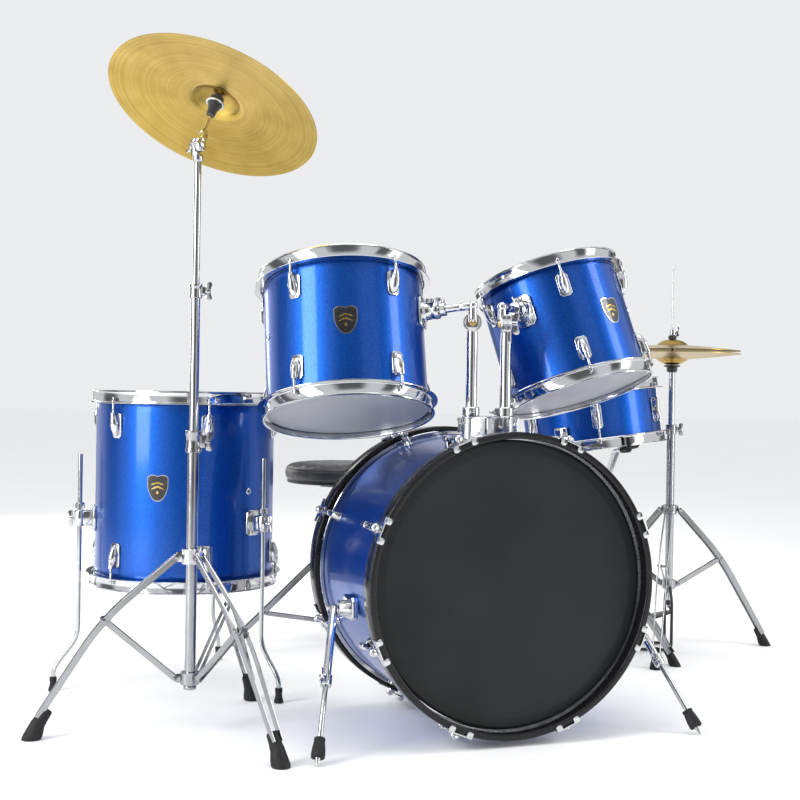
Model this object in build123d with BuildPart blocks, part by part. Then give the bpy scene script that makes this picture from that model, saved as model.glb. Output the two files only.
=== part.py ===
from build123d import *
import os
from math import cos, radians, sin

os.makedirs("parts", exist_ok=True)

# Acoustic drum kit: bass drum with two mounted toms, floor tom, snare on its stand, hi-hat,
# crash cymbal on a tripod stand, throne and bass pedal. Millimetres, +Z up.
# The origin is on the floor under the middle of the whole kit, and the audience is at -Y.

INCH = 25.4
FIT = 0.05                      # radial clearance of everything that turns or slides in a bore
GAP = 0.3                       # air between neighbouring pieces that do not touch

# ---- where each unit stands, measured from the point on the floor under the bass drum ----
BASS_X, BASS_Y = -107.11, -449.45
BASS_Z = 306.0                  # bass drum axis above the floor

# ---- bass drum ----
BASS_RADIUS = 277.0
BASS_DEPTH = 14 * INCH
BASS_WALL = 8.0
BASS_HOOP_INNER, BASS_HOOP_OUTER = 281.0, 294.0
BASS_HOOP_BACK, BASS_HOOP_FRONT = -9.0, 30.0    # hoop's edges, from the shell's end outwards
BASS_LUGS = 8
CLAW_REACH = 33.0               # front of a claw's prongs, beyond the shell's end
ROD_CIRCLE = 301.0              # bass tension rods' distance from the drum axis

# ---- spurs ----
SPUR_SEAT = (298.0, -45.0, 252.0)
SPUR_TIP = (396.0, -228.0, 0.93)
SPUR_TUBE_RADIUS, SPUR_ROD_RADIUS = 8.0, 5.0
SPUR_TUBE_LENGTH = 165.0

# ---- tom mount ----
POST_SPREAD = 37.0              # half the distance between the two posts
POST_Y = -55.0
POST_RADIUS = 11.0
POST_FOOT, POST_TOP = 478.0, 796.0
MOUNT_TOP = 627.0
RATCHET_Z = 814.0
RATCHET_RADIUS = 19.0
RATCHET_THICK = 11.0
ARM_RADIUS = 5.25
ELBOW_RADIUS = 8.5

# ---- steel drum hoop, from the shell's radius and end ----
HOOP_WALL_IN, HOOP_WALL_OUT = 5.5, 7.8
HOOP_FLANGE = 19.0
HOOP_TOP, HOOP_LIP = 13.0, 11.5
HOOP_FOOT = -15.0
HOOP_STEEL = 2.3
TENSION_ROD = 2.8
TENSION_CIRCLE = 13.5

# ---- tom, floor tom and snare lugs ----
LUG_WIDTH, LUG_DEPTH = 27.0, 21.0
TOM_LUG_LENGTH, TOM_LUG_GAP = 50.0, 32.0

# ---- cymbals ----
CRASH_RADIUS = 8.5 * INCH
HAT_RADIUS = 7 * INCH
CYMBAL_THICK = 1.4

# ---- free-standing units ----
STAND_X, STAND_Y = -572.0, 66.0
STAND_TURN = 172.8              # direction of the cymbal stand's first leg
HAT_X, HAT_Y = 803.0, 573.0
HAT_TURN = -7.0
THRONE_X, THRONE_Y = -14.0, 886.0
THRONE_TURN = 176.0
SEAT_RADIUS = 165.0
SEAT_TOP, SEAT_THICK = 486.0, 58.0
SNARE_CENTRE = (564.0, 576.0, 615.0)
SNARE_AXIS = (-0.118, 0.084, 0.989)

UP = Vector(0, 0, 1)
BOTTOM = (Align.CENTER, Align.CENTER, Align.MIN)


def kit(x, y, z=0.0):
    """Point given from the floor under the middle of the bass drum."""
    return Vector(BASS_X + x, BASS_Y + y, z)


def heading(turn):
    """Level unit vector at an angle from +X."""
    return Vector(cos(radians(turn)), sin(radians(turn)), 0)


def bar(start, end, radius, mode=Mode.ADD):
    """Round bar between two points."""
    with Locations(Plane(origin=start, z_dir=end - start)):
        Cylinder(radius, (end - start).length, align=BOTTOM, mode=mode)


def cone(start, end, start_radius, end_radius):
    """Round bar that tapers from one point to another."""
    with Locations(Plane(origin=start, z_dir=end - start)):
        Cone(start_radius, end_radius, (end - start).length, align=BOTTOM)


def ball(centre, radius):
    """Ball that rounds the corner where two bars meet."""
    with Locations(centre):
        Sphere(radius)


def block(centre, size, x_dir=(1, 0, 0), z_dir=(0, 0, 1), mode=Mode.ADD):
    """Box with its middle at a point."""
    with Locations(Plane(origin=centre, x_dir=x_dir, z_dir=z_dir)):
        Box(*size, mode=mode)


def strap(start, end, across, width, thick):
    """Flat bar with rounded ends; across is its thin direction."""
    with Locations(Plane(origin=start, x_dir=across, z_dir=end - start)):
        Box(thick, width, (end - start).length, align=BOTTOM)
    for tip in (start, end):
        with Locations(Plane(origin=tip, z_dir=across)):
            Cylinder(width / 2, thick)


def save(name, piece):
    """Label a finished piece and write it."""
    piece.part.label = name
    export_step(piece.part, f"parts/{name}.step")


# ---------------------------------------------------------------- drums

class Drum:
    """Where a drum is and its sizes. Its local Z is its axis, towards the batter head, and its
    local X points at its badge."""

    def __init__(self, centre, axis, badge_turn, shell_radius, depth, lugs, lug_turn):
        axis = Vector(*axis).normalized()
        badge = heading(badge_turn)
        self.frame = Plane(origin=centre, x_dir=badge - axis * badge.dot(axis), z_dir=axis)
        self.radius = shell_radius
        self.depth = depth
        self.angles = [lug_turn + 360 / lugs * k for k in range(lugs)]

    def spoke(self, turn):
        """Unit vector outwards from the axis."""
        return self.frame.x_dir * cos(radians(turn)) + self.frame.y_dir * sin(radians(turn))

    def point(self, turn, radius, height):
        """Point at a turn about the axis, a distance from it and a height above the middle."""
        return self.frame.origin + self.spoke(turn) * radius + self.frame.z_dir * height

    def end(self, side):
        """Plane at one end of the shell, facing out of the drum."""
        outward = self.frame.z_dir * side
        return Plane(origin=self.frame.origin + outward * (self.depth / 2),
                     x_dir=self.frame.x_dir, z_dir=outward)


def section(end):
    """Plane through a drum's axis: its X runs outwards from the axis, its Y out of the end."""
    return Plane(origin=end.origin, x_dir=end.x_dir, z_dir=-end.y_dir)


def drum_shell(drum, wall):
    """Open cylinder."""
    with BuildPart(drum.frame) as shell:
        Cylinder(drum.radius, drum.depth)
        Cylinder(drum.radius - wall, drum.depth, mode=Mode.SUBTRACT)
    return shell


def drum_heads(drum, sides, film, rim_out, rim_low, rim_high):
    """Film over the shell's edge, held in a metal ring around the shell."""
    skin_in = drum.radius + 0.3
    skin_out = drum.radius + 1.1
    with BuildPart() as heads:
        for side in sides:
            end = drum.end(side)
            with BuildSketch(section(end)):
                with BuildLine():
                    Polyline((0, 0), (skin_in, 0), (skin_in, rim_low), (drum.radius + rim_out, rim_low),
                             (drum.radius + rim_out, rim_high), (skin_out, rim_high), (skin_out, film),
                             (0, film), close=True)
                make_face()
            revolve(axis=Axis(end.origin, end.z_dir))
    return heads


def steel_hoops(drum):
    """Flanged steel hoops: a ring that presses the head down, a wall, a rolled top and a flange
    with a hole for each tension rod."""
    inner = drum.radius + HOOP_WALL_IN
    outer = drum.radius + HOOP_WALL_OUT
    flange = drum.radius + HOOP_FLANGE
    with BuildPart() as hoops:
        for side in (1, -1):
            end = drum.end(side)
            with BuildSketch(section(end)):
                with BuildLine():
                    Polyline((inner, HOOP_FOOT), (flange, HOOP_FOOT), (flange, HOOP_FOOT + HOOP_STEEL),
                             (outer, HOOP_FOOT + HOOP_STEEL), (outer, HOOP_LIP - HOOP_STEEL / 2),
                             (outer + 4, HOOP_LIP), (outer + 4, HOOP_TOP), (inner, HOOP_TOP),
                             (inner, -1.0), (drum.radius + 1.6, -1.0), (drum.radius + 1.6, -3.0),
                             (inner, -3.0), close=True)
                make_face()
            revolve(axis=Axis(end.origin, end.z_dir))
            for turn in drum.angles:
                foot = drum.point(turn, drum.radius + TENSION_CIRCLE, side * (drum.depth / 2 - 25))
                bar(foot, foot + end.z_dir * 20, TENSION_ROD + 0.8, Mode.SUBTRACT)
    return hoops


def add_lugs(drum, end_gap, length):
    """Lug castings on the shell, each with its tension rod up to the hoop."""
    width, depth = LUG_WIDTH, LUG_DEPTH
    lug_end = drum.depth / 2 - end_gap
    for side in (1, -1):
        outward = drum.frame.z_dir * side
        washer = side * (drum.depth / 2 + HOOP_FOOT + HOOP_STEEL)
        for turn in drum.angles:
            middle = drum.point(turn, drum.radius + depth / 2, side * (lug_end - length / 2))
            block(middle, (depth, width, length), drum.spoke(turn), drum.frame.z_dir)
            rod_foot = drum.point(turn, drum.radius + TENSION_CIRCLE, side * lug_end)
            head_foot = drum.point(turn, drum.radius + TENSION_CIRCLE, washer)
            bar(rod_foot, head_foot, TENSION_ROD)
            bar(head_foot, head_foot + outward * 1.5, 5.2)
            bar(head_foot, head_foot + outward * 11, 4.2)


def clear_shell(drum):
    """Shape whatever sits on a drum to its shell."""
    with Locations(drum.frame):
        Cylinder(drum.radius + 0.1, drum.depth * 1.2, mode=Mode.SUBTRACT)


def tom_lugs(drum, bracket_turn, bracket_height):
    """Lugs of a mounted tom and the bracket that its arm enters."""
    inward = -drum.spoke(bracket_turn)
    mouth = drum.point(bracket_turn, drum.radius + 38, bracket_height)
    plate = drum.point(bracket_turn, drum.radius + 3, bracket_height)
    with BuildPart() as lugs:
        add_lugs(drum, TOM_LUG_GAP, TOM_LUG_LENGTH)
        block(plate, (8, 46, 70), drum.spoke(bracket_turn), drum.frame.z_dir)
        bar(plate, mouth, 17)
        bar(mouth, mouth + inward * 37, ARM_RADIUS + FIT, Mode.SUBTRACT)
        clear_shell(drum)
    return lugs


# ---------------------------------------------------------------- bass drum

# The bass drum lies on its side: its local X is the kit's +X and its local Y the kit's +Z.
bass = Drum(kit(0, 0, BASS_Z), (0, -1, 0), 0, BASS_RADIUS, BASS_DEPTH, BASS_LUGS, 22.5)

with BuildPart() as bass_shell:
    with Locations(bass.frame):
        Cylinder(BASS_RADIUS, BASS_DEPTH)
        Cylinder(BASS_RADIUS - BASS_WALL, BASS_DEPTH, mode=Mode.SUBTRACT)
    for side in (-1, 1):
        post_axis = kit(side * POST_SPREAD, POST_Y, BASS_Z)
        bar(post_axis, post_axis + UP * 300, POST_RADIUS + 3, Mode.SUBTRACT)
save("bass_shell", bass_shell)

with BuildPart() as bass_hoops:
    for side in (1, -1):
        end = bass.end(side)
        with BuildSketch(end.offset(BASS_HOOP_BACK)):
            Circle(BASS_HOOP_OUTER)
            Circle(BASS_HOOP_INNER, mode=Mode.SUBTRACT)
        extrude(amount=BASS_HOOP_FRONT - BASS_HOOP_BACK)
save("bass_hoops", bass_hoops)

save("bass_front_head", drum_heads(bass, (1,), 1.0, 8.0, -22.0, BASS_HOOP_BACK))
save("bass_batter_head", drum_heads(bass, (-1,), 1.0, 8.0, -22.0, BASS_HOOP_BACK))

CLAW_WIDTH, CLAW_THICK = 52.0, 3.0
PRONG_WIDTH, PRONG_DROP = 13.0, 13.0
BASS_LUG_WIDTH, BASS_LUG_LENGTH = 20.0, 26.0

with BuildPart() as bass_tension_sets:
    for side in (1, -1):
        outward = bass.frame.z_dir * side
        half = BASS_DEPTH / 2
        for turn in bass.angles:
            spoke = bass.spoke(turn)
            around = outward.cross(spoke)
            strap_radius = BASS_HOOP_OUTER + GAP + CLAW_THICK / 2
            block(bass.point(turn, strap_radius, side * (half + 12)), (CLAW_THICK, 22, 42), spoke, outward)
            block(bass.point(turn, strap_radius, side * (half + 24)),
                  (CLAW_THICK, CLAW_WIDTH, CLAW_REACH - 15), spoke, outward)
            for across in (-1, 1):
                prong = bass.point(turn, BASS_HOOP_OUTER - PRONG_DROP / 2 + 3, side * (half + CLAW_REACH - 1.4))
                prong += around * (across * (CLAW_WIDTH - PRONG_WIDTH) / 2)
                block(prong, (PRONG_DROP, PRONG_WIDTH, 2.6), spoke, outward)
            boss = bass.point(turn, ROD_CIRCLE + 1, side * (half + 2))
            bar(boss, boss + outward * 12, 8)
            bar(boss, boss + outward * 24, 5.5)
            lug = bass.point(turn, ROD_CIRCLE - 10, side * (half - 60))
            bar(lug + spoke * 10, boss, 3)
            block(lug, (26, BASS_LUG_WIDTH, BASS_LUG_LENGTH), spoke, outward)
    with Locations(bass.frame):
        Cylinder(BASS_RADIUS + 0.1, BASS_DEPTH, mode=Mode.SUBTRACT)
save("bass_tension_sets", bass_tension_sets)

# ---------------------------------------------------------------- spurs


def spur_points(side):
    """Pivot, direction and tip of one spur."""
    x, y, z = SPUR_SEAT
    tip_x, tip_y, tip_z = SPUR_TIP
    pivot = kit(side * (x + 16), y, z)
    tip = kit(side * tip_x, tip_y, tip_z)
    return pivot, (tip - pivot).normalized(), tip


def spur_hinge(side, along):
    """Level axis that a spur folds about, pointing away from the shell."""
    across = along.cross(UP).normalized()
    return across if across.X * side > 0 else -across


with BuildPart() as bass_spur_brackets:
    for side in (-1, 1):
        pivot, along, tip = spur_points(side)
        hinge = spur_hinge(side, along)
        block(kit(side * (BASS_RADIUS + 2), SPUR_SEAT[1], SPUR_SEAT[2]), (18, 62, 44))
        bar(pivot - hinge * 36, pivot - hinge * (SPUR_TUBE_RADIUS + GAP), 16)
        bar(pivot - hinge * 20, pivot + hinge * 14, 3)
    with Locations(bass.frame):
        Cylinder(BASS_RADIUS + 0.1, BASS_DEPTH, mode=Mode.SUBTRACT)
save("bass_spur_brackets", bass_spur_brackets)

for name, side in (("left", -1), ("right", 1)):
    pivot, along, tip = spur_points(side)
    hinge = spur_hinge(side, along)
    mouth = pivot + along * SPUR_TUBE_LENGTH
    spike = tip - along * 12
    with BuildPart() as spur_tube:
        bar(pivot, mouth, SPUR_TUBE_RADIUS)
        ball(pivot, SPUR_TUBE_RADIUS + 0.1)
        bar(mouth - along * 22, mouth, SPUR_TUBE_RADIUS + 3)
        bar(pivot + along * 12, mouth, SPUR_ROD_RADIUS + FIT, Mode.SUBTRACT)
        bar(pivot - hinge * 20, pivot + hinge * 20, 3 + FIT, Mode.SUBTRACT)
    save(f"{name}_spur_tube", spur_tube)
    with BuildPart() as spur_leg:
        bar(pivot + along * 70, spike, SPUR_ROD_RADIUS)
        cone(spike, tip, 4.0, 1.5)
        bar(spike - along * 42, spike - along * 4, 13)
    save(f"{name}_spur_leg", spur_leg)

# ---------------------------------------------------------------- tom mount on the bass drum

with BuildPart() as tom_mount_base:
    block(kit(0, POST_Y, MOUNT_TOP - 26), (106, 40, 52))
    for side in (-1, 1):
        foot = kit(side * POST_SPREAD, POST_Y, BASS_Z + BASS_RADIUS - 20)
        bar(foot, kit(side * POST_SPREAD, POST_Y, MOUNT_TOP), POST_RADIUS + 6)
        bar(foot, kit(side * POST_SPREAD, POST_Y, MOUNT_TOP), POST_RADIUS + FIT, Mode.SUBTRACT)
    with Locations(bass.frame):
        Cylinder(BASS_RADIUS + 0.1, BASS_DEPTH, mode=Mode.SUBTRACT)
save("tom_mount_base", tom_mount_base)

left_tom = Drum(kit(-264, 70, 764.5), (0.027, 0.285, 0.958), -106, 162, 11 * INCH, 5, 36)
right_tom = Drum(kit(235, 88, 801), (-0.187, 0.290, 0.939), -69.5, 149.5, 10 * INCH, 5, 36)

# Each tom hangs on an arm that leaves its post's ratchet, rises to an elbow and runs into the
# tom's bracket, square to the drum's axis.
mounts = {
    "left": (left_tom, -1, heading(70.7)),
    "right": (right_tom, 1, heading(-19.3)),
}
for name, (tom, side, hinge) in mounts.items():
    post = kit(side * POST_SPREAD, POST_Y)
    hub = post + UP * RATCHET_Z
    elbow = hub + UP * 34 - hinge * (ELBOW_RADIUS + GAP)
    reach = elbow - tom.frame.origin
    height = reach.dot(tom.frame.z_dir)
    spoke = (reach - tom.frame.z_dir * height).normalized()
    reach_length = (reach - tom.frame.z_dir * height).length
    arm_end = elbow - spoke * (reach_length - tom.radius - 4)
    bracket_mouth = elbow - spoke * (reach_length - tom.radius - 38)

    with BuildPart() as tom_post:
        bar(post + UP * POST_FOOT, post + UP * POST_TOP, POST_RADIUS)
        bar(post + UP * (MOUNT_TOP + 0.2), post + UP * (MOUNT_TOP + 18), POST_RADIUS + 6)
        bar(hub + hinge * (GAP / 2), hub + hinge * RATCHET_THICK, RATCHET_RADIUS)
        bar(post + UP * (POST_TOP - 12), hub - UP * 4, POST_RADIUS - 1)
        block(hub - hinge * (RATCHET_THICK + 5 - GAP / 2) - UP * 8, (60, 2 * RATCHET_THICK + 10, 60),
              UP.cross(hinge), UP, Mode.SUBTRACT)
        bar(hub - hinge * 20, hub + hinge * 20, 5 + FIT, Mode.SUBTRACT)
    save(f"{name}_tom_post", tom_post)

    with BuildPart() as tom_arm:
        bar(hub - hinge * RATCHET_THICK, hub - hinge * (GAP / 2), RATCHET_RADIUS)
        bar(hub - hinge * (RATCHET_THICK + 6), hub + hinge * (RATCHET_THICK + 5), 5)
        bar(elbow - UP * 34, elbow, ELBOW_RADIUS)
        ball(elbow, ELBOW_RADIUS + 1.5)
        bar(elbow, arm_end, ARM_RADIUS)
        bar(bracket_mouth + spoke * 2, bracket_mouth + spoke * 14, 14)
    save(f"{name}_tom_arm", tom_arm)

    turn = spoke.get_signed_angle(tom.frame.x_dir, -tom.frame.z_dir)
    save(f"{name}_tom_shell", drum_shell(tom, 6))
    save(f"{name}_tom_hoops", steel_hoops(tom))
    save(f"{name}_tom_heads", drum_heads(tom, (1, -1), 0.8, 5.2, -12.0, -3.2))
    save(f"{name}_tom_lugs", tom_lugs(tom, turn, height))

# ---------------------------------------------------------------- floor tom

FLOOR_TOM_RADIUS = 199.0
FLOOR_TOM_LEG_TURNS = (178.0, -54.0, 62.0)
LEG_CIRCLE = 233.0              # floor tom legs' distance from the drum axis
LEG_RADIUS = 5.0
LEG_BRACKET_Z = 382.0

floor_tom = Drum(kit(-511, 491, 451), (0, 0, 1), -117, FLOOR_TOM_RADIUS, 16 * INCH, 6, 30)
save("floor_tom_shell", drum_shell(floor_tom, 7))
save("floor_tom_hoops", steel_hoops(floor_tom))
save("floor_tom_heads", drum_heads(floor_tom, (1, -1), 0.8, 5.2, -12.0, -3.2))

floor_tom_middle = kit(-511, 491)
with BuildPart() as floor_tom_lugs:
    add_lugs(floor_tom, TOM_LUG_GAP + 4, TOM_LUG_LENGTH + 4)
    for turn in FLOOR_TOM_LEG_TURNS:
        out = heading(turn)
        block(floor_tom_middle + out * (FLOOR_TOM_RADIUS + 3) + UP * LEG_BRACKET_Z, (8, 40, 56), out)
        block(floor_tom_middle + out * (FLOOR_TOM_RADIUS + 20) + UP * LEG_BRACKET_Z, (30, 22, 34), out)
        rod = floor_tom_middle + out * LEG_CIRCLE + UP * LEG_BRACKET_Z
        bar(rod - UP * 17, rod + UP * 17, 12)
        bar(rod - UP * 30, rod + UP * 30, LEG_RADIUS + FIT, Mode.SUBTRACT)
    clear_shell(floor_tom)
save("floor_tom_lugs", floor_tom_lugs)

for number, turn in enumerate(FLOOR_TOM_LEG_TURNS, start=1):
    out = heading(turn)
    top = floor_tom_middle + out * LEG_CIRCLE + UP * 524
    bend = floor_tom_middle + out * LEG_CIRCLE + UP * 116
    knee = floor_tom_middle + out * (LEG_CIRCLE + 52) + UP * 50
    foot = floor_tom_middle + out * (LEG_CIRCLE + 52) + UP * 24
    with BuildPart() as floor_tom_leg:
        bar(top, bend, LEG_RADIUS)
        ball(bend, LEG_RADIUS + 0.1)
        bar(bend, knee, LEG_RADIUS)
        ball(knee, LEG_RADIUS + 0.1)
        bar(knee, foot, LEG_RADIUS)
        cone(foot - UP * 24, foot + UP * 8, 10, 8)
    save(f"floor_tom_leg_{number}", floor_tom_leg)

# ---------------------------------------------------------------- tripods


def tripod_leg(middle, turn, hip, knee, foot, foot_size):
    """One double-strap leg with its rubber foot. The points are (distance out, height)."""
    out = heading(turn)
    across = UP.cross(out)
    tread = middle + out * foot[0]
    for side in (-1, 1):
        shift = across * (side * 9)
        top, bend, low = (middle + shift + out * r + UP * z for r, z in (hip, knee, foot))
        strap(top, bend, across, 12, 2.5)
        strap(bend, low, across, 12, 2.5)
    bar(middle + out * hip[0] + UP * hip[1] - across * 11, middle + out * hip[0] + UP * hip[1] + across * 11, 3.5)
    cone(tread, tread + UP * (foot[1] + 4), foot_size, foot_size * 0.6)


def tripod_brace(middle, turn, root, knee):
    """Flat brace from the lower collar to a leg, between the leg's straps."""
    out = heading(turn)
    across = UP.cross(out)
    for side in (-1, 1):
        shift = across * (side * 5.5)
        low, high = (middle + shift + out * r + UP * z for r, z in (root, knee))
        strap(low, high, across, 11, 2.0)
    end = middle + out * knee[0] + UP * knee[1]
    bar(end - across * 6.5, end + across * 6.5, 3)
    start = middle + out * root[0] + UP * root[1]
    bar(start - across * 6.5, start + across * 6.5, 3)


def add_tripod(middle, first_turn, hip, knee, foot, root, foot_size):
    """Three legs and braces of a stand whose tripod is left open."""
    for number in range(3):
        turn = first_turn + 120 * number
        tripod_leg(middle, turn, hip, knee, foot, foot_size)
        tripod_brace(middle, turn, root, (knee[0] - 8, knee[1] - 4))


# ---------------------------------------------------------------- cymbal stand

LOWER_TUBE_RADIUS, MIDDLE_TUBE_RADIUS, UPPER_TUBE_RADIUS = 11.0, 9.0, 7.0
COLLAR_Z, ROOT_Z = 345.0, 108.0
PIVOT_CIRCLE = 28.0             # leg and brace pivots' distance from the tube's axis
KNEE_CIRCLE = 168.0
FOOT_CIRCLE = 286.0
TILTER_Z = 1150.0
CRASH_AXIS = Vector(0.374, 0.293, 0.880).normalized()
CRASH_HEIGHT = 88.0             # from the tilter's pivot to the cymbal's edge plane

stand = kit(STAND_X, STAND_Y)
knee_z = (COLLAR_Z + ROOT_Z) / 2


def clamp_collar(base, height, radius):
    """Round clamp on a stand's tube, with the boss for its wing screw."""
    bar(base, base + UP * height, radius)
    block(base + UP * (height / 2) + heading(-20) * (radius + 3), (16, 12, height * 0.6), heading(-20))


with BuildPart() as cymbal_stand_tube:
    bar(stand + UP * 88, stand + UP * 548, LOWER_TUBE_RADIUS)
    clamp_collar(stand + UP * 548, 44, 16)
    bar(stand + UP * (ROOT_Z - 12), stand + UP * (ROOT_Z + 12), 19)
    bar(stand + UP * 96, stand + UP * 600, MIDDLE_TUBE_RADIUS + FIT, Mode.SUBTRACT)
save("cymbal_stand_tube", cymbal_stand_tube)

with BuildPart() as cymbal_stand_collar:
    bar(stand + UP * (COLLAR_Z - 14), stand + UP * (COLLAR_Z + 16), 20)
    bar(stand + UP * (COLLAR_Z - 20), stand + UP * (COLLAR_Z + 20), LOWER_TUBE_RADIUS + FIT, Mode.SUBTRACT)
save("cymbal_stand_collar", cymbal_stand_collar)

for number in range(3):
    turn = STAND_TURN + 120 * number
    with BuildPart() as cymbal_stand_leg:
        tripod_leg(stand, turn, (PIVOT_CIRCLE, COLLAR_Z), (KNEE_CIRCLE, knee_z), (FOOT_CIRCLE, 42), 19)
    save(f"cymbal_stand_leg_{number + 1}", cymbal_stand_leg)
    with BuildPart() as cymbal_stand_brace:
        tripod_brace(stand, turn, (PIVOT_CIRCLE, ROOT_Z), (KNEE_CIRCLE, knee_z))
    save(f"cymbal_stand_brace_{number + 1}", cymbal_stand_brace)

with BuildPart() as cymbal_middle_tube:
    bar(stand + UP * 330, stand + UP * 850, MIDDLE_TUBE_RADIUS)
    clamp_collar(stand + UP * 850, 28, 13)
    bar(stand + UP * 340, stand + UP * 880, UPPER_TUBE_RADIUS + FIT, Mode.SUBTRACT)
save("cymbal_middle_tube", cymbal_middle_tube)

tilter = stand + UP * TILTER_Z
tilt_axis = UP.cross(CRASH_AXIS).normalized()
with BuildPart() as cymbal_upper_tube:
    bar(stand + UP * 620, tilter - UP * 20, UPPER_TUBE_RADIUS)
    bar(tilter + tilt_axis * (GAP / 2), tilter + tilt_axis * 10, 14)
    block(tilter - UP * 16 + tilt_axis * (5 + GAP / 2), (10, 20, 16), tilt_axis)
    bar(tilter - tilt_axis * 20, tilter + tilt_axis * 20, 4 + FIT, Mode.SUBTRACT)
save("cymbal_upper_tube", cymbal_upper_tube)

crash_seat = tilter + CRASH_AXIS * CRASH_HEIGHT
with BuildPart() as cymbal_tilter:
    bar(tilter - tilt_axis * 10, tilter - tilt_axis * (GAP / 2), 14)
    bar(tilter - tilt_axis * 15, tilter + tilt_axis * 14, 4)
    bar(tilter - tilt_axis * 6.5, tilter - tilt_axis * 6.5 + CRASH_AXIS * 30, 6)
    bar(tilter + CRASH_AXIS * 26, crash_seat + CRASH_AXIS * 70, 4)
    bar(tilter - tilt_axis * 6.5 + CRASH_AXIS * 28, tilter + CRASH_AXIS * 33, 7)
    bar(crash_seat + CRASH_AXIS * 12, crash_seat + CRASH_AXIS * 16, 19)
    bar(crash_seat + CRASH_AXIS * 16, crash_seat + CRASH_AXIS * 30, 14)
    bar(crash_seat + CRASH_AXIS * 42, crash_seat + CRASH_AXIS * 52, 14)
    bar(crash_seat + CRASH_AXIS * 52, crash_seat + CRASH_AXIS * 62, 8)
save("cymbal_tilter", cymbal_tilter)


def cymbal(seat, axis, radius, bell_radius, bell_height, bow_height, side):
    """Thin spun disc with a bow and a bell; side -1 turns its bell down."""
    frame = Plane(origin=seat, z_dir=axis * side)
    across = Plane(origin=seat, x_dir=frame.x_dir, z_dir=-frame.y_dir)
    top = bow_height + bell_height
    middle = (radius + bell_radius) / 2
    with BuildPart() as disc:
        with BuildSketch(across):
            with BuildLine():
                bow = ThreePointArc((radius, 0), (middle, bow_height * 0.62), (bell_radius, bow_height))
                bell = ThreePointArc(bow @ 1, (bell_radius * 0.62, top - bell_height * 0.3), (6, top))
                inner = Line(bell @ 1, (6, top - CYMBAL_THICK))
                under_bell = ThreePointArc(inner @ 1, (bell_radius * 0.62, top - bell_height * 0.3 - CYMBAL_THICK),
                                           (bell_radius, bow_height - CYMBAL_THICK))
                under_bow = ThreePointArc(under_bell @ 1, (middle, bow_height * 0.62 - CYMBAL_THICK),
                                          (radius, -CYMBAL_THICK))
                Line(under_bow @ 1, bow @ 0)
            make_face()
        revolve(axis=Axis(seat, axis))
    return disc


save("crash_cymbal", cymbal(crash_seat, CRASH_AXIS, CRASH_RADIUS, 52, 20, 18, 1))

# ---------------------------------------------------------------- hi-hat

HAT_TOP_Z, HAT_BOTTOM_Z = 796.0, 787.0
HAT_TUBE_RADIUS, HAT_UPPER_RADIUS, HAT_ROD_RADIUS = 10.5, 8.0, 3.0
HAT_FRAME_HALF = 47.0           # half the width of the pedal frame
HAT_BOARD_WIDTH = 78.0
HAT_HEEL_REACH = 285.0
HAT_HEEL_Z, HAT_TOE_Z = 18.0, 98.0
HAT_PEDAL_TURN = 160.0          # the footboard runs this way, towards the throne
HINGE_PIN = 3.0
BOARD_THICK = 5.0

hat = kit(HAT_X, HAT_Y)


def footboard(heel, toe, side, width):
    """Flat board from its heel barrel up to its toe."""
    slope = toe - heel
    normal = side.cross(slope).normalized()
    with Locations(Plane(origin=heel, x_dir=normal, z_dir=slope)):
        Box(BOARD_THICK, width, slope.length, align=BOTTOM)
    bar(heel - side * (width / 2), heel + side * (width / 2), HINGE_PIN + 3)
    bar(heel - side * width, heel + side * width, HINGE_PIN + FIT, Mode.SUBTRACT)


pedal_way = heading(HAT_PEDAL_TURN)
pedal_side = UP.cross(pedal_way)
hat_heel = hat + pedal_way * HAT_HEEL_REACH + UP * HAT_HEEL_Z
hat_toe = hat - pedal_way * 6 + UP * HAT_TOE_Z

with BuildPart() as hihat_stand:
    bar(hat + UP * 150, hat + UP * 572, HAT_TUBE_RADIUS)
    clamp_collar(hat + UP * 572, 26, 14)
    bar(hat + UP * 358, hat + UP * 384, 18)
    bar(hat + UP * 160, hat + UP * 184, 18)
    bar(hat + UP * 140, hat + UP * 600, HAT_UPPER_RADIUS + FIT, Mode.SUBTRACT)
    for side in (-1, 1):
        edge = hat + pedal_side * (side * HAT_FRAME_HALF)
        heel_edge = edge + pedal_way * HAT_HEEL_REACH
        bar(hat + pedal_side * (side * 17) + UP * 168, edge + UP * 130, 4)
        ball(edge + UP * 130, 4.1)
        bar(edge + UP * 130, edge + UP * 5, 4)
        ball(edge + UP * 5, 4.1)
        bar(edge + UP * 5, heel_edge + UP * 5, 4)
        block(heel_edge + UP * 13, (26, 8, 26), pedal_way)
    block(hat + pedal_way * (HAT_HEEL_REACH + 26) + UP * 3.5, (44, 2 * HAT_FRAME_HALF + 8, 5), pedal_way)
    bar(hat_heel - pedal_side * HAT_FRAME_HALF, hat_heel + pedal_side * HAT_FRAME_HALF, HINGE_PIN)
    add_tripod(hat, HAT_TURN, (26, 371), (150, 240), (272, 34), (26, 172), 16)
save("hihat_stand", hihat_stand)

with BuildPart() as hihat_upper_tube:
    bar(hat + UP * 420, hat + UP * 738, HAT_UPPER_RADIUS)
    bar(hat + UP * 738, hat + UP * 752, 14)
    bar(hat + UP * 752, hat + UP * 757, 22)
    bar(hat + UP * 400, hat + UP * 760, HAT_ROD_RADIUS + FIT, Mode.SUBTRACT)
save("hihat_upper_tube", hihat_upper_tube)

save("hihat_bottom_cymbal", cymbal(hat + UP * HAT_BOTTOM_Z, UP, HAT_RADIUS, 42, 15, 14, -1))
save("hihat_top_cymbal", cymbal(hat + UP * HAT_TOP_Z, UP, HAT_RADIUS, 42, 15, 14, 1))

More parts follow.
